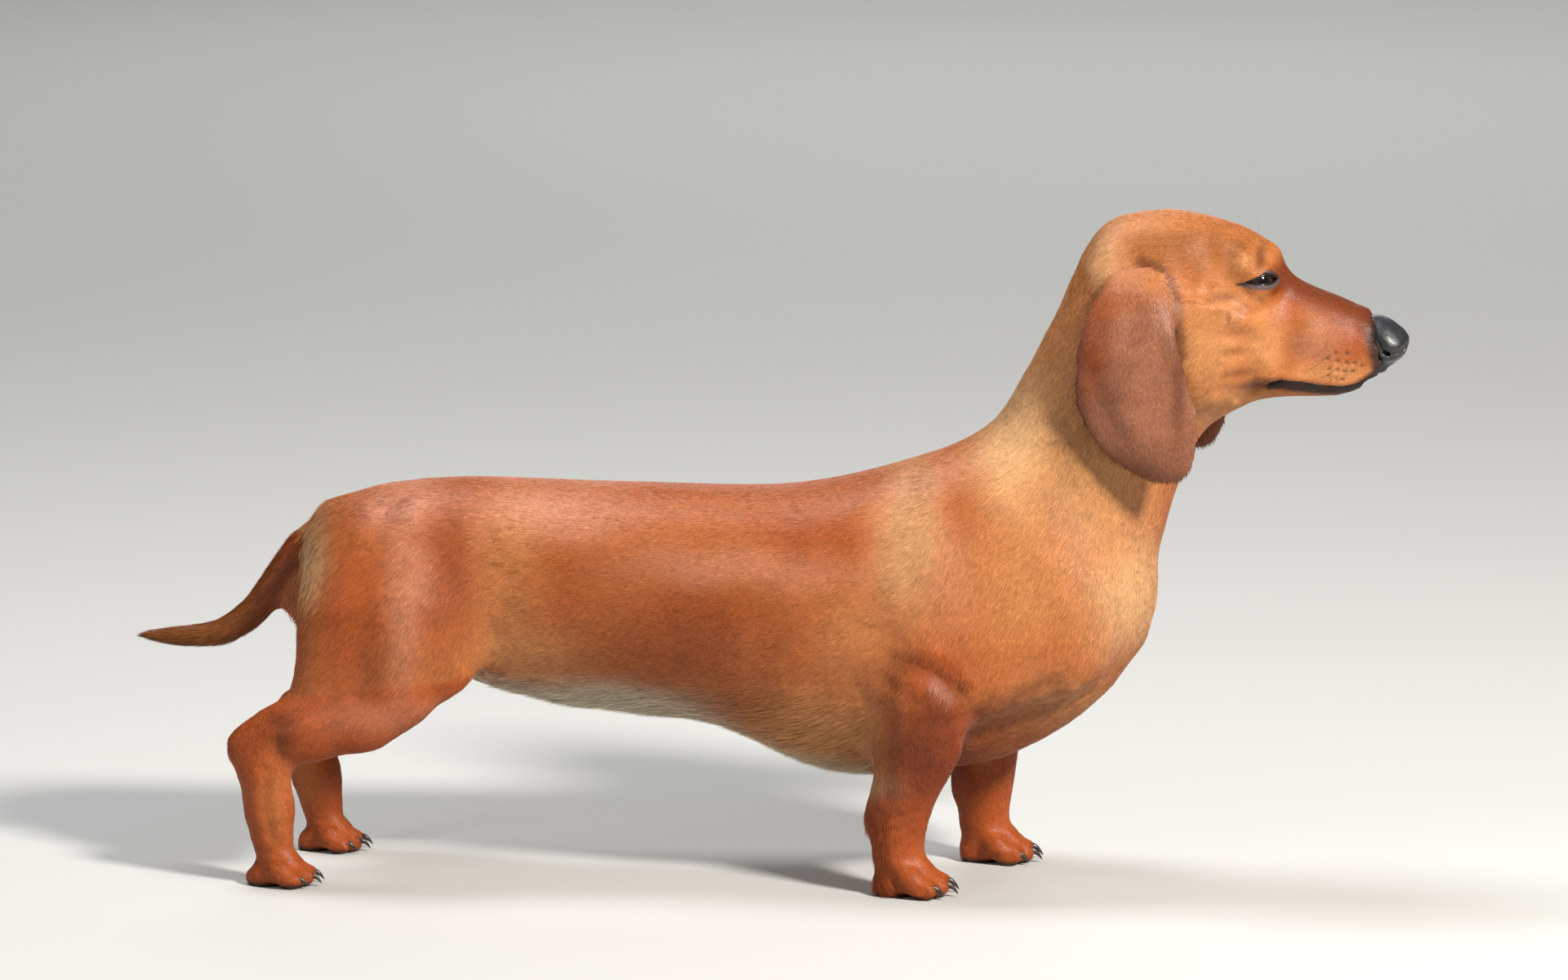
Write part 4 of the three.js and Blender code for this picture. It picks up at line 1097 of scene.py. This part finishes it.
def leather_material():
    material, tree, shader = new_material("nose_leather")
    pebble = tree.nodes.new("ShaderNodeTexVoronoi")
    pebble.feature = "DISTANCE_TO_EDGE"
    set_inputs(tree, pebble, Vector=object_place(tree), Scale=1250)
    edge = pebble.outputs["Distance"]
    colour = two_shades(tree, edge, 0, (0.004, 0.004, 0.005), 0.3, (0.022, 0.022, 0.025))
    coarse = relief(tree, edge, 0.4, 0.0003)
    fine = relief(tree, noise(tree, Scale=2600), 0.25, 0.0002, Normal=coarse)
    set_inputs(tree, shader, Base_Color=colour, Normal=fine)
    set_inputs(tree, shader, Roughness=0.42, Coat_Weight=0.2, Coat_Roughness=0.3)
    return material


def eye_material():
    material, tree, shader = new_material("wet_eye")
    colour = stored_colour(tree, noise(tree, Scale=1400), To_Min=0.6, To_Max=1.4)
    set_inputs(tree, shader, Base_Color=colour, Roughness=0.06, Specular_IOR_Level=0.6)
    return material


def horn_material(name, dark, light, roughness, scale):
    """Horn, wet skin or whisker: two shades drawn apart by a fine noise, with a slight grain."""
    material, tree, shader = new_material(name)
    grain = noise(tree, Scale=scale, Detail=3)
    colour = two_shades(tree, grain, 0.35, dark, 0.7, light)
    set_inputs(tree, shader, Base_Color=colour, Normal=relief(tree, grain, 0.25, 0.0002), Roughness=roughness)
    return material


# Nose, eyes, lid margins, claws and whiskers


def make_nose(material):
    """The nose leather: a finer, slightly fuller copy of its solid, with its nostrils drawn deeper."""
    nose = joined_copy(["nose"], "nose_leather")
    apply_modifier(nose, "REMESH", mode="VOXEL", voxel_size=0.62 * MM)
    keep_largest(nose)
    apply_modifier(nose, "SMOOTH", factor=0.5, iterations=7)
    head = to_head(points_of(nose))
    normals = turned_to_head(normals_of(nose))
    swell = -0.35 + 0.85 * smoothstep(head[:, 0], 331, 339) * smoothstep(head[:, 2], 290, 299)
    head += normals * swell[:, None]
    side_on = smoothstep(np.abs(head[:, 1]), 2.5, 4.5)
    slit = path_distance(side_view(head), NOSTRIL[:4])
    hole = path_distance(side_view(head), NOSTRIL[2:])
    wing = path_distance(side_view(head), NOSE_WING)
    sink = 0.7 * bump_shape(slit / 0.8) + 0.5 * bump_shape(hole / 1.2)
    head += normals * ((0.35 * bump_shape(wing / 2.8) - sink) * side_on)[:, None]
    groove = path_distance(head, NOSE_GROOVE)
    head -= normals * (0.8 * bump_shape(groove))[:, None]
    set_points(nose, from_head(head))
    shade_smooth(nose)
    nose.data.materials.append(material)
    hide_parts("nose")
    return nose


def make_eye(side, material):
    """An eyeball with a raised cornea, its iris and pupil coloured by their distance from its axis."""
    sign = SIDES[side]
    eye = ball_at_eye(sign, EYE_RADIUS, 48, 32)
    eye.name = "eyeball_" + side
    head = to_head(points_of(eye))
    outward, across_axis, _ = eye_axes(sign)
    looking = outward + 0.10 * across_axis
    looking /= np.linalg.norm(looking)
    offset = head - eye_centre(sign)
    unit = offset / np.linalg.norm(offset, axis=1, keepdims=True)
    angle = np.degrees(np.arccos(np.clip(unit @ looking, -1, 1)))
    head += unit * (0.45 * (1 - smoothstep(angle, 10, 38)))[:, None]
    set_points(eye, from_head(head))
    colours = np.tile(np.array(SHADES["eyeball"]), (len(head), 1))
    blend(colours, "iris", 1 - smoothstep(angle, 38, 44))
    blend(colours, "pupil", 1 - smoothstep(angle, 17, 22))
    store_colours(eye, colours)
    shade_smooth(eye)
    eye.data.materials.append(material)
    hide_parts("eye_" + side)
    return eye


def tube(name, path, radii, around=8):
    """A closed tapering tube along a path in the dog's frame."""
    path = np.asarray(path, float)
    deselect()
    bpy.ops.mesh.primitive_circle_add(vertices=around, radius=1)
    ring = bpy.context.object
    flat = np.array([v.co[:2] for v in ring.data.vertices])
    bpy.data.objects.remove(ring)
    tangents = np.gradient(path, axis=0)
    tangents /= np.linalg.norm(tangents, axis=1, keepdims=True)
    side = np.cross(tangents, [0.13, 0.21, 0.97])
    side /= np.linalg.norm(side, axis=1, keepdims=True)
    rise = np.cross(side, tangents)
    rings = [
        path[i] + radii[i] * (flat[:, :1] * side[i] + flat[:, 1:] * rise[i]) for i in range(len(path))
    ]
    corners = np.vstack(rings + [path[:1], path[-1:]])
    faces = []
    for i in range(len(path) - 1):
        for n in range(around):
            m = (n + 1) % around
            faces.append((i * around + n, i * around + m, (i + 1) * around + m, (i + 1) * around + n))
    first, last = len(corners) - 2, len(corners) - 1
    end = (len(path) - 1) * around
    for n in range(around):
        m = (n + 1) % around
        faces.append((m, n, first))
        faces.append((end + n, end + m, last))
    mesh = bpy.data.meshes.new(name)
    mesh.from_pydata(to_scene(corners).tolist(), [], faces)
    piece = bpy.data.objects.new(name, mesh)
    bpy.context.scene.collection.objects.link(piece)
    face_normals_out(piece)
    bpy.ops.object.shade_smooth()
    return piece


MARGIN_RADIUS = 0.42
MARGIN_DEPTH = 0.25


def make_lid_margins(side, material):
    """The wet dark edge that runs round the slit between the lids."""
    sign = SIDES[side]
    outward, across_axis, up_axis = eye_axes(sign)
    steps = np.linspace(REAR_CORNER[0], FRONT_CORNER[0], 22)
    line = [(across, lid_heights(across)[0]) for across in steps]
    line += [(across, lid_heights(across)[1]) for across in steps[-2:0:-1]]
    line.append(line[0])
    path = []
    for across, up in line:
        out = math.sqrt((LID_RADIUS - MARGIN_DEPTH) ** 2 - across**2 - up**2)
        path.append(eye_centre(sign) + across * across_axis + up * up_axis + out * outward)
    margin = tube("lid_margin_" + side, from_head(np.array(path)), [MARGIN_RADIUS] * len(path), 10)
    margin.data.materials.append(material)
    return margin


# Each length of the claw's model: how far ahead and up it goes, and the share of its girth that it keeps
CLAW_STEPS = [(0.30, -0.02, 0.97), (0.28, -0.10, 0.84), (0.22, -0.18, 0.70), (0.15, -0.20, 0.45)]
CLAW_FLATNESS = 0.94
# The share of its solid's length that a claw has ahead and across
CLAW_LENGTH = 0.85
CLAW_WIDTH = 0.95


def model_claw():
    """One claw about a unit long along +X: a disc drawn out, curved down and brought to a point."""
    deselect()
    bpy.ops.mesh.primitive_circle_add(
        vertices=10, radius=0.20, fill_type="NGON", rotation=(0, math.pi / 2, 0)
    )
    bpy.ops.object.transform_apply(rotation=True)
    claw = bpy.context.object
    actions = []
    for ahead, rise, kept in CLAW_STEPS:
        move = {"value": (ahead, 0, rise)}
        girth = (1, kept * CLAW_FLATNESS, kept)
        actions.append(lambda move=move: bpy.ops.mesh.extrude_region_move(TRANSFORM_OT_translate=move))
        actions.append(lambda girth=girth: bpy.ops.transform.resize(value=girth))
    on_all(claw, *actions)
    face_normals_out(claw)
    apply_modifier(claw, "SUBSURF", levels=1, render_levels=1)
    return claw


def make_claws(material):
    pattern = model_claw()
    made = []
    shape = np.array([v.co for v in pattern.data.vertices])
    shape[:, 0] -= shape[:, 0].min()
    model_length, model_height = shape[:, 0].max(), np.ptp(shape[:, 2])
    for name in CLAWS:
        low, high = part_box(name)
        claw = pattern.copy()
        claw.data = pattern.data.copy()
        claw.name = "nail_" + name.replace("_claw", "")
        bpy.context.scene.collection.objects.link(claw)
        length, height = high.x - low.x, high.z - low.z
        placed = shape * [
            CLAW_LENGTH * length / model_length, CLAW_WIDTH * length / model_length, height / model_height
        ]
        placed[:, 0] += low.x
        placed[:, 1] += (low.y + high.y) / 2
        placed[:, 2] += high.z - placed[:, 2].max()
        claw.data.vertices.foreach_set("co", placed.astype(np.float32).ravel())
        claw.data.update()
        claw.data.materials.append(material)
        shade_smooth(claw)
        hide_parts(name)
        made.append(claw)
    bpy.data.objects.remove(pattern)
    return made


def make_whiskers(surface, material):
    """Fine curved hairs from the whisker spots, a few over the eye and one at the cheek."""
    roots = [(x, z, -1.0, -0.45, 12) for x, z in WHISKER_SPOTS[::2]]
    roots += [(262, 355, -0.3, 0.8, 13), (266, 356.5, -0.1, 0.9, 11), (252, 300, -0.8, -0.5, 14)]
    pieces = []
    for sign in SIDES.values():
        for x, z, back, down, length in roots:
            start = from_head([x, sign * 60, z])[0]
            aim = from_head([x, 0, z])[0] - start
            hit = surface.ray_cast(Vector(to_scene(start)), Vector(aim).normalized())
            if hit[0] is None:
                continue
            root = to_dog(hit[0])
            normal = np.array(hit[1])
            lie = np.array([back, 0, down]) + normal * 0.55
            lie /= np.linalg.norm(lie)
            span = length * RANDOM.uniform(0.7, 1.2)
            steps = np.linspace(0, 1, 8)
            bend = np.array([-0.5, 0, -0.35])
            path = root - normal * 0.5 + np.outer(steps * span, lie) + np.outer(steps**2 * span * 0.35, bend)
            pieces.append(tube("whisker", path, np.interp(steps, [0, 1], [0.085, 0.025]), 5))
    take(*pieces)
    bpy.ops.object.join()
    whiskers = pieces[0]
    whiskers.name = "whiskers"
    whiskers.data.materials.append(material)
    return whiskers


# The coat

# How the hair lies: a place (ahead, out, up), its reach, and the direction (ahead, out, up)
BODY_LIE = [
    ("croup", (-215, 20, 215), 45, (-1.0, 0.1, -0.35)),
    ("back", (-80, 0, 225), 90, (-1.0, 0.1, -0.05)),
    ("withers", (90, 0, 235), 60, (-1.0, 0.15, -0.25)),
    ("nape", (150, 0, 290), 50, (-0.55, 0.1, -0.85)),
    ("neck's side", (178, 45, 250), 45, (-0.35, 0.1, -0.95)),
    ("throat", (225, 0, 225), 35, (-0.25, 0.3, -0.95)),
    ("forechest", (208, 0, 165), 35, (-0.1, 0.35, -0.95)),
    ("chest's front floor", (150, 0, 85), 40, (-0.85, 0.35, -0.45)),
    ("shoulder", (120, 60, 180), 50, (-0.45, 0.05, -0.9)),
    ("upper arm", (95, 62, 130), 30, (-0.35, 0.0, -0.95)),
    ("ribs", (10, 64, 160), 80, (-0.92, 0.0, -0.42)),
    ("lower ribs", (10, 45, 90), 50, (-0.95, -0.1, -0.35)),
    ("flank", (-110, 52, 150), 60, (-0.95, 0.0, -0.30)),
    ("belly", (-80, 10, 98), 55, (-0.97, -0.15, -0.2)),
    ("thigh", (-190, 55, 150), 48, (-0.55, 0.0, -0.85)),
    ("buttock", (-245, 25, 175), 28, (-0.2, 0.35, -0.95)),
    ("shank", (-225, 55, 95), 30, (-0.75, 0.0, -0.65)),
    ("hock", (-280, 50, 70), 28, (0.05, 0.0, -1.0)),
    ("hind foot", (-268, 48, 10), 22, (0.85, 0.0, -0.5)),
    ("forearm", (85, 52, 75), 30, (-0.05, 0.0, -1.0)),
    ("wrist", (78, 48, 35), 22, (0.1, 0.0, -1.0)),
    ("fore foot", (85, 48, 8), 20, (0.85, 0.0, -0.45)),
    ("left forearm", (118, 52, 70), 24, (-0.05, 0.0, -1.0)),
    ("left fore foot", (128, 48, 8), 20, (0.85, 0.0, -0.45)),
]
HEAD_LIE = [
    ("nose", (332, 0, 305), 12, (-1.0, 0.25, 0.1)),
    ("bridge", (300, 0, 328), 20, (-0.95, 0.25, 0.2)),
    ("forehead", (265, 0, 362), 22, (-0.95, 0.25, 0.15)),
    ("crown", (215, 0, 372), 28, (-0.95, 0.35, -0.1)),
    ("occiput", (178, 0, 350), 26, (-0.6, 0.2, -0.8)),
    ("muzzle's side", (310, 20, 303), 18, (-0.95, 0.1, -0.25)),
    ("lip", (305, 18, 286), 10, (-0.75, 0.1, -0.65)),
    ("chin", (310, 0, 276), 14, (-0.95, 0.2, -0.2)),
    ("below the eye", (266, 30, 325), 12, (-0.9, 0.1, -0.4)),
    ("above the eye", (264, 24, 352), 9, (-0.75, 0.3, 0.55)),
    ("cheek", (245, 36, 312), 22, (-0.75, 0.1, -0.65)),
    ("jaw's angle", (240, 30, 275), 20, (-0.7, 0.2, -0.7)),
    ("temple", (240, 34, 350), 18, (-0.9, 0.1, -0.3)),
    ("throat", (235, 0, 258), 18, (-0.75, 0.3, -0.6)),
]


def lie_from(places, table):
    """Blends the directions of a table's rows by how near each lies."""
    total = np.zeros((len(places), 3))
    for _, centre, reach, direction in table:
        away = np.linalg.norm(places - centre, axis=1) / reach
        weight = 1 / (0.02 + away**4)
        total += weight[:, None] * (np.array(direction) / np.linalg.norm(direction))
    return total


def lie_on_both_sides(points, table):
    lie = lie_from(folded(points), table)
    lie[:, 1] *= np.sign(points[:, 1] + 1e-9)
    return lie


# The tail's slope along its length, from its tip to its root
TAIL_X = [-345, -310, -290, -262, -240]
TAIL_SLOPE = [0.0, -0.15, -1.0, -1.2, -0.6]


def lie_of_hair(points, normals, region):
    """The hair's direction along the skin at each point, and how plainly the tables give one."""
    lie = lie_on_both_sides(points, BODY_LIE)
    head = to_head(points)
    on_head = np.isin(region, FACE)
    lie[on_head] = lie_on_both_sides(head, HEAD_LIE)[on_head]
    on_ear = np.isin(region, EARS)
    lie[on_ear] = [0.02, 0, -1]
    lie[on_ear, 0] += (head[on_ear, 0] - 205) * 0.008
    on_tail = region == "tail"
    slope = np.interp(points[on_tail, 0], TAIL_X, TAIL_SLOPE)
    lie[on_tail] = np.column_stack([-np.ones(len(slope)), np.zeros(len(slope)), slope])
    lie /= np.maximum(np.linalg.norm(lie, axis=1, keepdims=True), 1e-6)
    lie -= normals * np.sum(lie * normals, axis=1, keepdims=True)
    along = np.linalg.norm(lie, axis=1)
    lie /= np.maximum(along, 1e-6)[:, None]
    return lie, along


# Tufts of the trunk, then of each other part: length, width, density and lift in degrees
TRUNK_TUFT = (5.0, 0.46, 0.78, 2.6)
PART_TUFTS = [
    (LIMBS, (4.0, 0.42, 1.1, 2.6)),
    (PAWS, (3.0, 0.38, 1.6, 2.6)),
    (EARS, (3.4, 0.38, 1.3, 2.6)),
    (["tail"], (6.5, 0.42, 1.5, 8)),
]


def coat_sizes(points, region):
    """The length, width and lift of the tufts and how many grow on a square millimetre."""
    head = to_head(points)
    sizes = np.tile(np.array(TRUNK_TUFT), (len(points), 1))
    for parts, tuft in PART_TUFTS:
        sizes[np.isin(region, parts)] = tuft
    length, width, dense, lift = sizes.T
    on_head = np.isin(region, FACE)
    muzzle = smoothstep(head[:, 0], 215, 290)
    length = np.where(on_head, 3.8 - 1.7 * muzzle, length)
    width = np.where(on_head, 0.38 - 0.10 * muzzle, width)
    dense = np.where(on_head, 1.1 + 1.6 * muzzle, dense)
    belly = smoothstep(-points[:, 2], -118, -98) * (points[:, 0] > -150) * (points[:, 0] < 70)
    belly *= ~np.isin(region, LIMBS)
    length = length * (1 + 1.3 * belly)
    lift = lift + 8 * belly
    buttock = np.exp(-(((points[:, 0] + 250) / 14) ** 2 + ((points[:, 2] - 178) / 34) ** 2))
    length = length * (1 + 0.8 * buttock * (region != "tail"))
    lift = lift + 7 * buttock
    return length, width, lift, dense


def skin_triangles(skin):
    """Each triangle's points and corners, and the corners' places on the skin's map."""
    mesh = skin.data
    mesh.calc_loop_triangles()
    corners = read_rows(mesh.loop_triangles, "vertices", 3, np.int32)
    loops = read_rows(mesh.loop_triangles, "loops", 3, np.int32)
    return corners, loops, read_rows(mesh.uv_layers["OFBake"].data, "uv", 2)


COAT_TUFTS = 345000
TUFTS_IN_A_PIECE = 48000
TUFT_RIDGE = 0.18
TUFT_SINK = 0.06
NORMAL_SCATTER = 0.085
NORMAL_ROUNDING = 0.34
RIM_TURN = 1.2
MAP_PATCH = 0.0015


def bare_places(points):
    """Where no hair grows: the soles, the nose, the lids' edges and the line of the mouth."""
    head = to_head(points)
    bare = points[:, 2] < 2.5
    bare |= (head[:, 0] > 333.5) & (head[:, 2] > 285)
    for sign in SIDES.values():
        across, up, out = eye_plane(head, sign)
        upper, lower = lid_heights(across)
        beyond = np.maximum(np.maximum(up - upper, lower - up), 0)
        outside = np.hypot(beyond, np.maximum(np.abs(across) - 9, 0))
        bare |= (outside < 1.5) & (out > -3) & (np.abs(across) < 12) & (np.abs(up) < 8)
    lips = path_distance(side_view(head), MOUTH)
    return bare | (lips < 1.0) & (head[:, 0] > 274)


def scatter_roots(skin, find):
    """The tufts' roots over the skin by area: their places, normals, places on the map and regions."""
    corners, loops, uv = skin_triangles(skin)
    points = points_of(skin)
    normals = normals_of(skin)
    region = find(points)
    a, b, c = (points[corners[:, i]] for i in range(3))
    area = np.linalg.norm(np.cross(b - a, c - a), axis=1) / 2
    dense = coat_sizes(points, region)[3]
    weight = area * dense[corners].mean(axis=1) * ~bare_places((a + b + c) / 3)
    tris = RANDOM.choice(len(corners), size=COAT_TUFTS, p=weight / weight.sum())
    mix = RANDOM.uniform(size=(COAT_TUFTS, 2))
    flip = mix.sum(axis=1) > 1
    mix[flip] = 1 - mix[flip]
    shares = np.column_stack([1 - mix.sum(axis=1), mix])[:, :, None]
    own = corners[tris]
    root = (points[own] * shares).sum(axis=1)
    normal = (normals[own] * shares).sum(axis=1)
    normal /= np.linalg.norm(normal, axis=1, keepdims=True)
    root_uv = (uv[loops[tris]] * shares).sum(axis=1)
    return root, normal, root_uv, region[own[:, 0]]


def coat_colours(root, region):
    """The markings at the tufts' roots, with some hairs paler and some darker."""
    colours = face_marks(root, markings(root, region))
    hair = 1 + RANDOM.normal(0, 0.10, COAT_TUFTS)
    pale = RANDOM.uniform(size=COAT_TUFTS) < 0.04
    hair[pale] *= 1.25
    colours *= np.clip(hair, 0.6, 1.6)[:, None]
    dusky = RANDOM.uniform(size=COAT_TUFTS) < np.where(region == "tail", 0.35, 0.05)
    colours[dusky] *= 0.6
    return colours


# The pieces of the coat: which regions each covers, and its surface family
COAT_PIECES = {
    "coat_head": (FACE, "red_coat"),
    "coat_ears": (EARS, "ear_coat"),
    "coat_legs": (LIMBS, "red_coat"),
    "coat_paws": (PAWS, "tan_coat"),
    "coat_tail": (["tail"], "red_coat"),
    "coat_neck": (["neck"], "tan_coat"),
    "coat_chest": (["chest"], "red_coat"),
    "coat_loin": (["loin"], "red_coat"),
    "coat_rump": (["rump", "thigh_right", "thigh_left"], "red_coat"),
}


def grow_coat(skin, find, material):
    """Scatters the tufts over the skin and sets them along the lie of the hair, in a few pieces."""
    root, normal, root_uv, own_region = scatter_roots(skin, find)
    lie, along = lie_of_hair(root, normal, own_region)
    length, width, lift, _ = coat_sizes(root, own_region)
    length = length * (0.35 + 0.65 * smoothstep(along, 0.15, 0.75))
    across = np.cross(lie, normal)
    sway = np.radians(3 * mottle(root, 30, 11) + RANDOM.normal(0, 4, COAT_TUFTS))
    lie = lie * np.cos(sway)[:, None] + across * np.sin(sway)[:, None]
    across = np.cross(lie, normal)
    length = length * RANDOM.uniform(0.75, 1.2, COAT_TUFTS)
    lift = np.radians(lift * RANDOM.uniform(0.5, 1.35, COAT_TUFTS))
    tip = root + lie * (length * np.cos(lift))[:, None] + normal * (length * np.sin(lift))[:, None]
    tip[:, 2] = np.maximum(tip[:, 2], 0.15)
    base = root - normal * TUFT_SINK
    left = base - across * (width / 2)[:, None]
    right = base + across * (width / 2)[:, None]
    ridge = base + (tip - base) * 0.3 + normal * (width * TUFT_RIDGE)[:, None]

    facing = normal + RANDOM.normal(0, NORMAL_SCATTER, (COAT_TUFTS, 3))
    on_ear = np.isin(own_region, EARS)
    rim = on_ear * (1 - smoothstep(np.abs(normal[:, 1]), 0.2, 0.8))
    facing[:, 1] += np.sign(root[:, 1]) * RIM_TURN * rim
    round_left = facing - across * NORMAL_ROUNDING
    round_right = facing + across * NORMAL_ROUNDING
    colours = coat_colours(root, own_region)
    made = []
    for name, (regions, family) in COAT_PIECES.items():
        chosen = np.nonzero(np.isin(own_region, regions))[0]
        parts = np.array_split(chosen, math.ceil(len(chosen) / TUFTS_IN_A_PIECE))
        for number, own in enumerate(parts, start=1):
            corners = np.stack([left[own], right[own], ridge[own], tip[own]], axis=1)
            turned = np.stack([round_left[own], round_right[own], facing[own], facing[own]], axis=1)
            title = name if len(parts) == 1 else f"{name}_{number}"
            piece = tuft_mesh(title, corners, turned, colours[own], root_uv[own])
            piece.data.materials.append(material)
            made.append(piece)
    return made


def tuft_mesh(name, corners, facing, colours, root_uv):
    """One piece of the coat: closed four-cornered tufts that catch the light as the skin below them does."""
    count = len(corners)
    pattern = np.array([[0, 1, 2], [0, 2, 3], [2, 1, 3], [1, 0, 3]])
    faces = (np.arange(count)[:, None, None] * 4 + pattern).reshape(-1)
    mesh = bpy.data.meshes.new(name)
    mesh.vertices.add(count * 4)
    mesh.vertices.foreach_set("co", to_scene(corners.reshape(-1, 3)).astype(np.float32).ravel())
    mesh.loops.add(count * 12)
    mesh.loops.foreach_set("vertex_index", faces.astype(np.int32))
    mesh.polygons.add(count * 4)
    mesh.polygons.foreach_set("loop_start", np.arange(count * 4, dtype=np.int32) * 3)
    mesh.update(calc_edges=True)
    facing = facing.reshape(-1, 3)
    facing /= np.linalg.norm(facing, axis=1, keepdims=True)
    mesh.normals_split_custom_set_from_vertices(facing.tolist())
    piece = bpy.data.objects.new(name, mesh)
    bpy.context.scene.collection.objects.link(piece)
    shade = np.repeat(colours[:, None, :], 4, axis=1)
    shade[:, :3] *= 0.9
    shade[:, 3] *= 1.08
    store_colours(piece, shade.reshape(-1, 3))
    layer = mesh.uv_layers.new(name="OFBake")
    patch = np.array([[-1, -1], [1, -1], [0, 0], [0, 1]]) * MAP_PATCH
    spread = root_uv[:, None, :] + patch
    layer.data.foreach_set("uv", spread[:, pattern.ravel()].astype(np.float32).ravel())
    return piece


# Putting it together

set_camera()
set_lights()
set_floor()

skin, find_region = make_skin()
skin_points = points_of(skin)
store_colours(skin, face_marks(skin_points, markings(skin_points, find_region(skin_points))))
skin.data.materials.append(skin_material())
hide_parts(*FLESH)

pieces = [skin]
pieces.append(make_nose(leather_material()))
eye_finish = eye_material()
wet_black = horn_material("wet_black_skin", (0.006, 0.005, 0.005), (0.03, 0.024, 0.024), 0.22, 700)
for eye_side in SIDES:
    pieces.append(make_eye(eye_side, eye_finish))
    pieces.append(make_lid_margins(eye_side, wet_black))
pieces += make_claws(horn_material("dark_horn", (0.012, 0.009, 0.008), (0.055, 0.038, 0.028), 0.33, 420))

corners_of_skin = [corner.co for corner in skin.data.vertices]
surface = BVHTree.FromPolygons(corners_of_skin, [face.vertices for face in skin.data.polygons])
whisker_hair = horn_material("whisker_hair", (0.010, 0.007, 0.006), (0.05, 0.03, 0.02), 0.4, 300)
pieces.append(make_whiskers(surface, whisker_hair))
pieces += grow_coat(skin, find_region, coat_material())

for piece in pieces:
    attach(piece, "root")
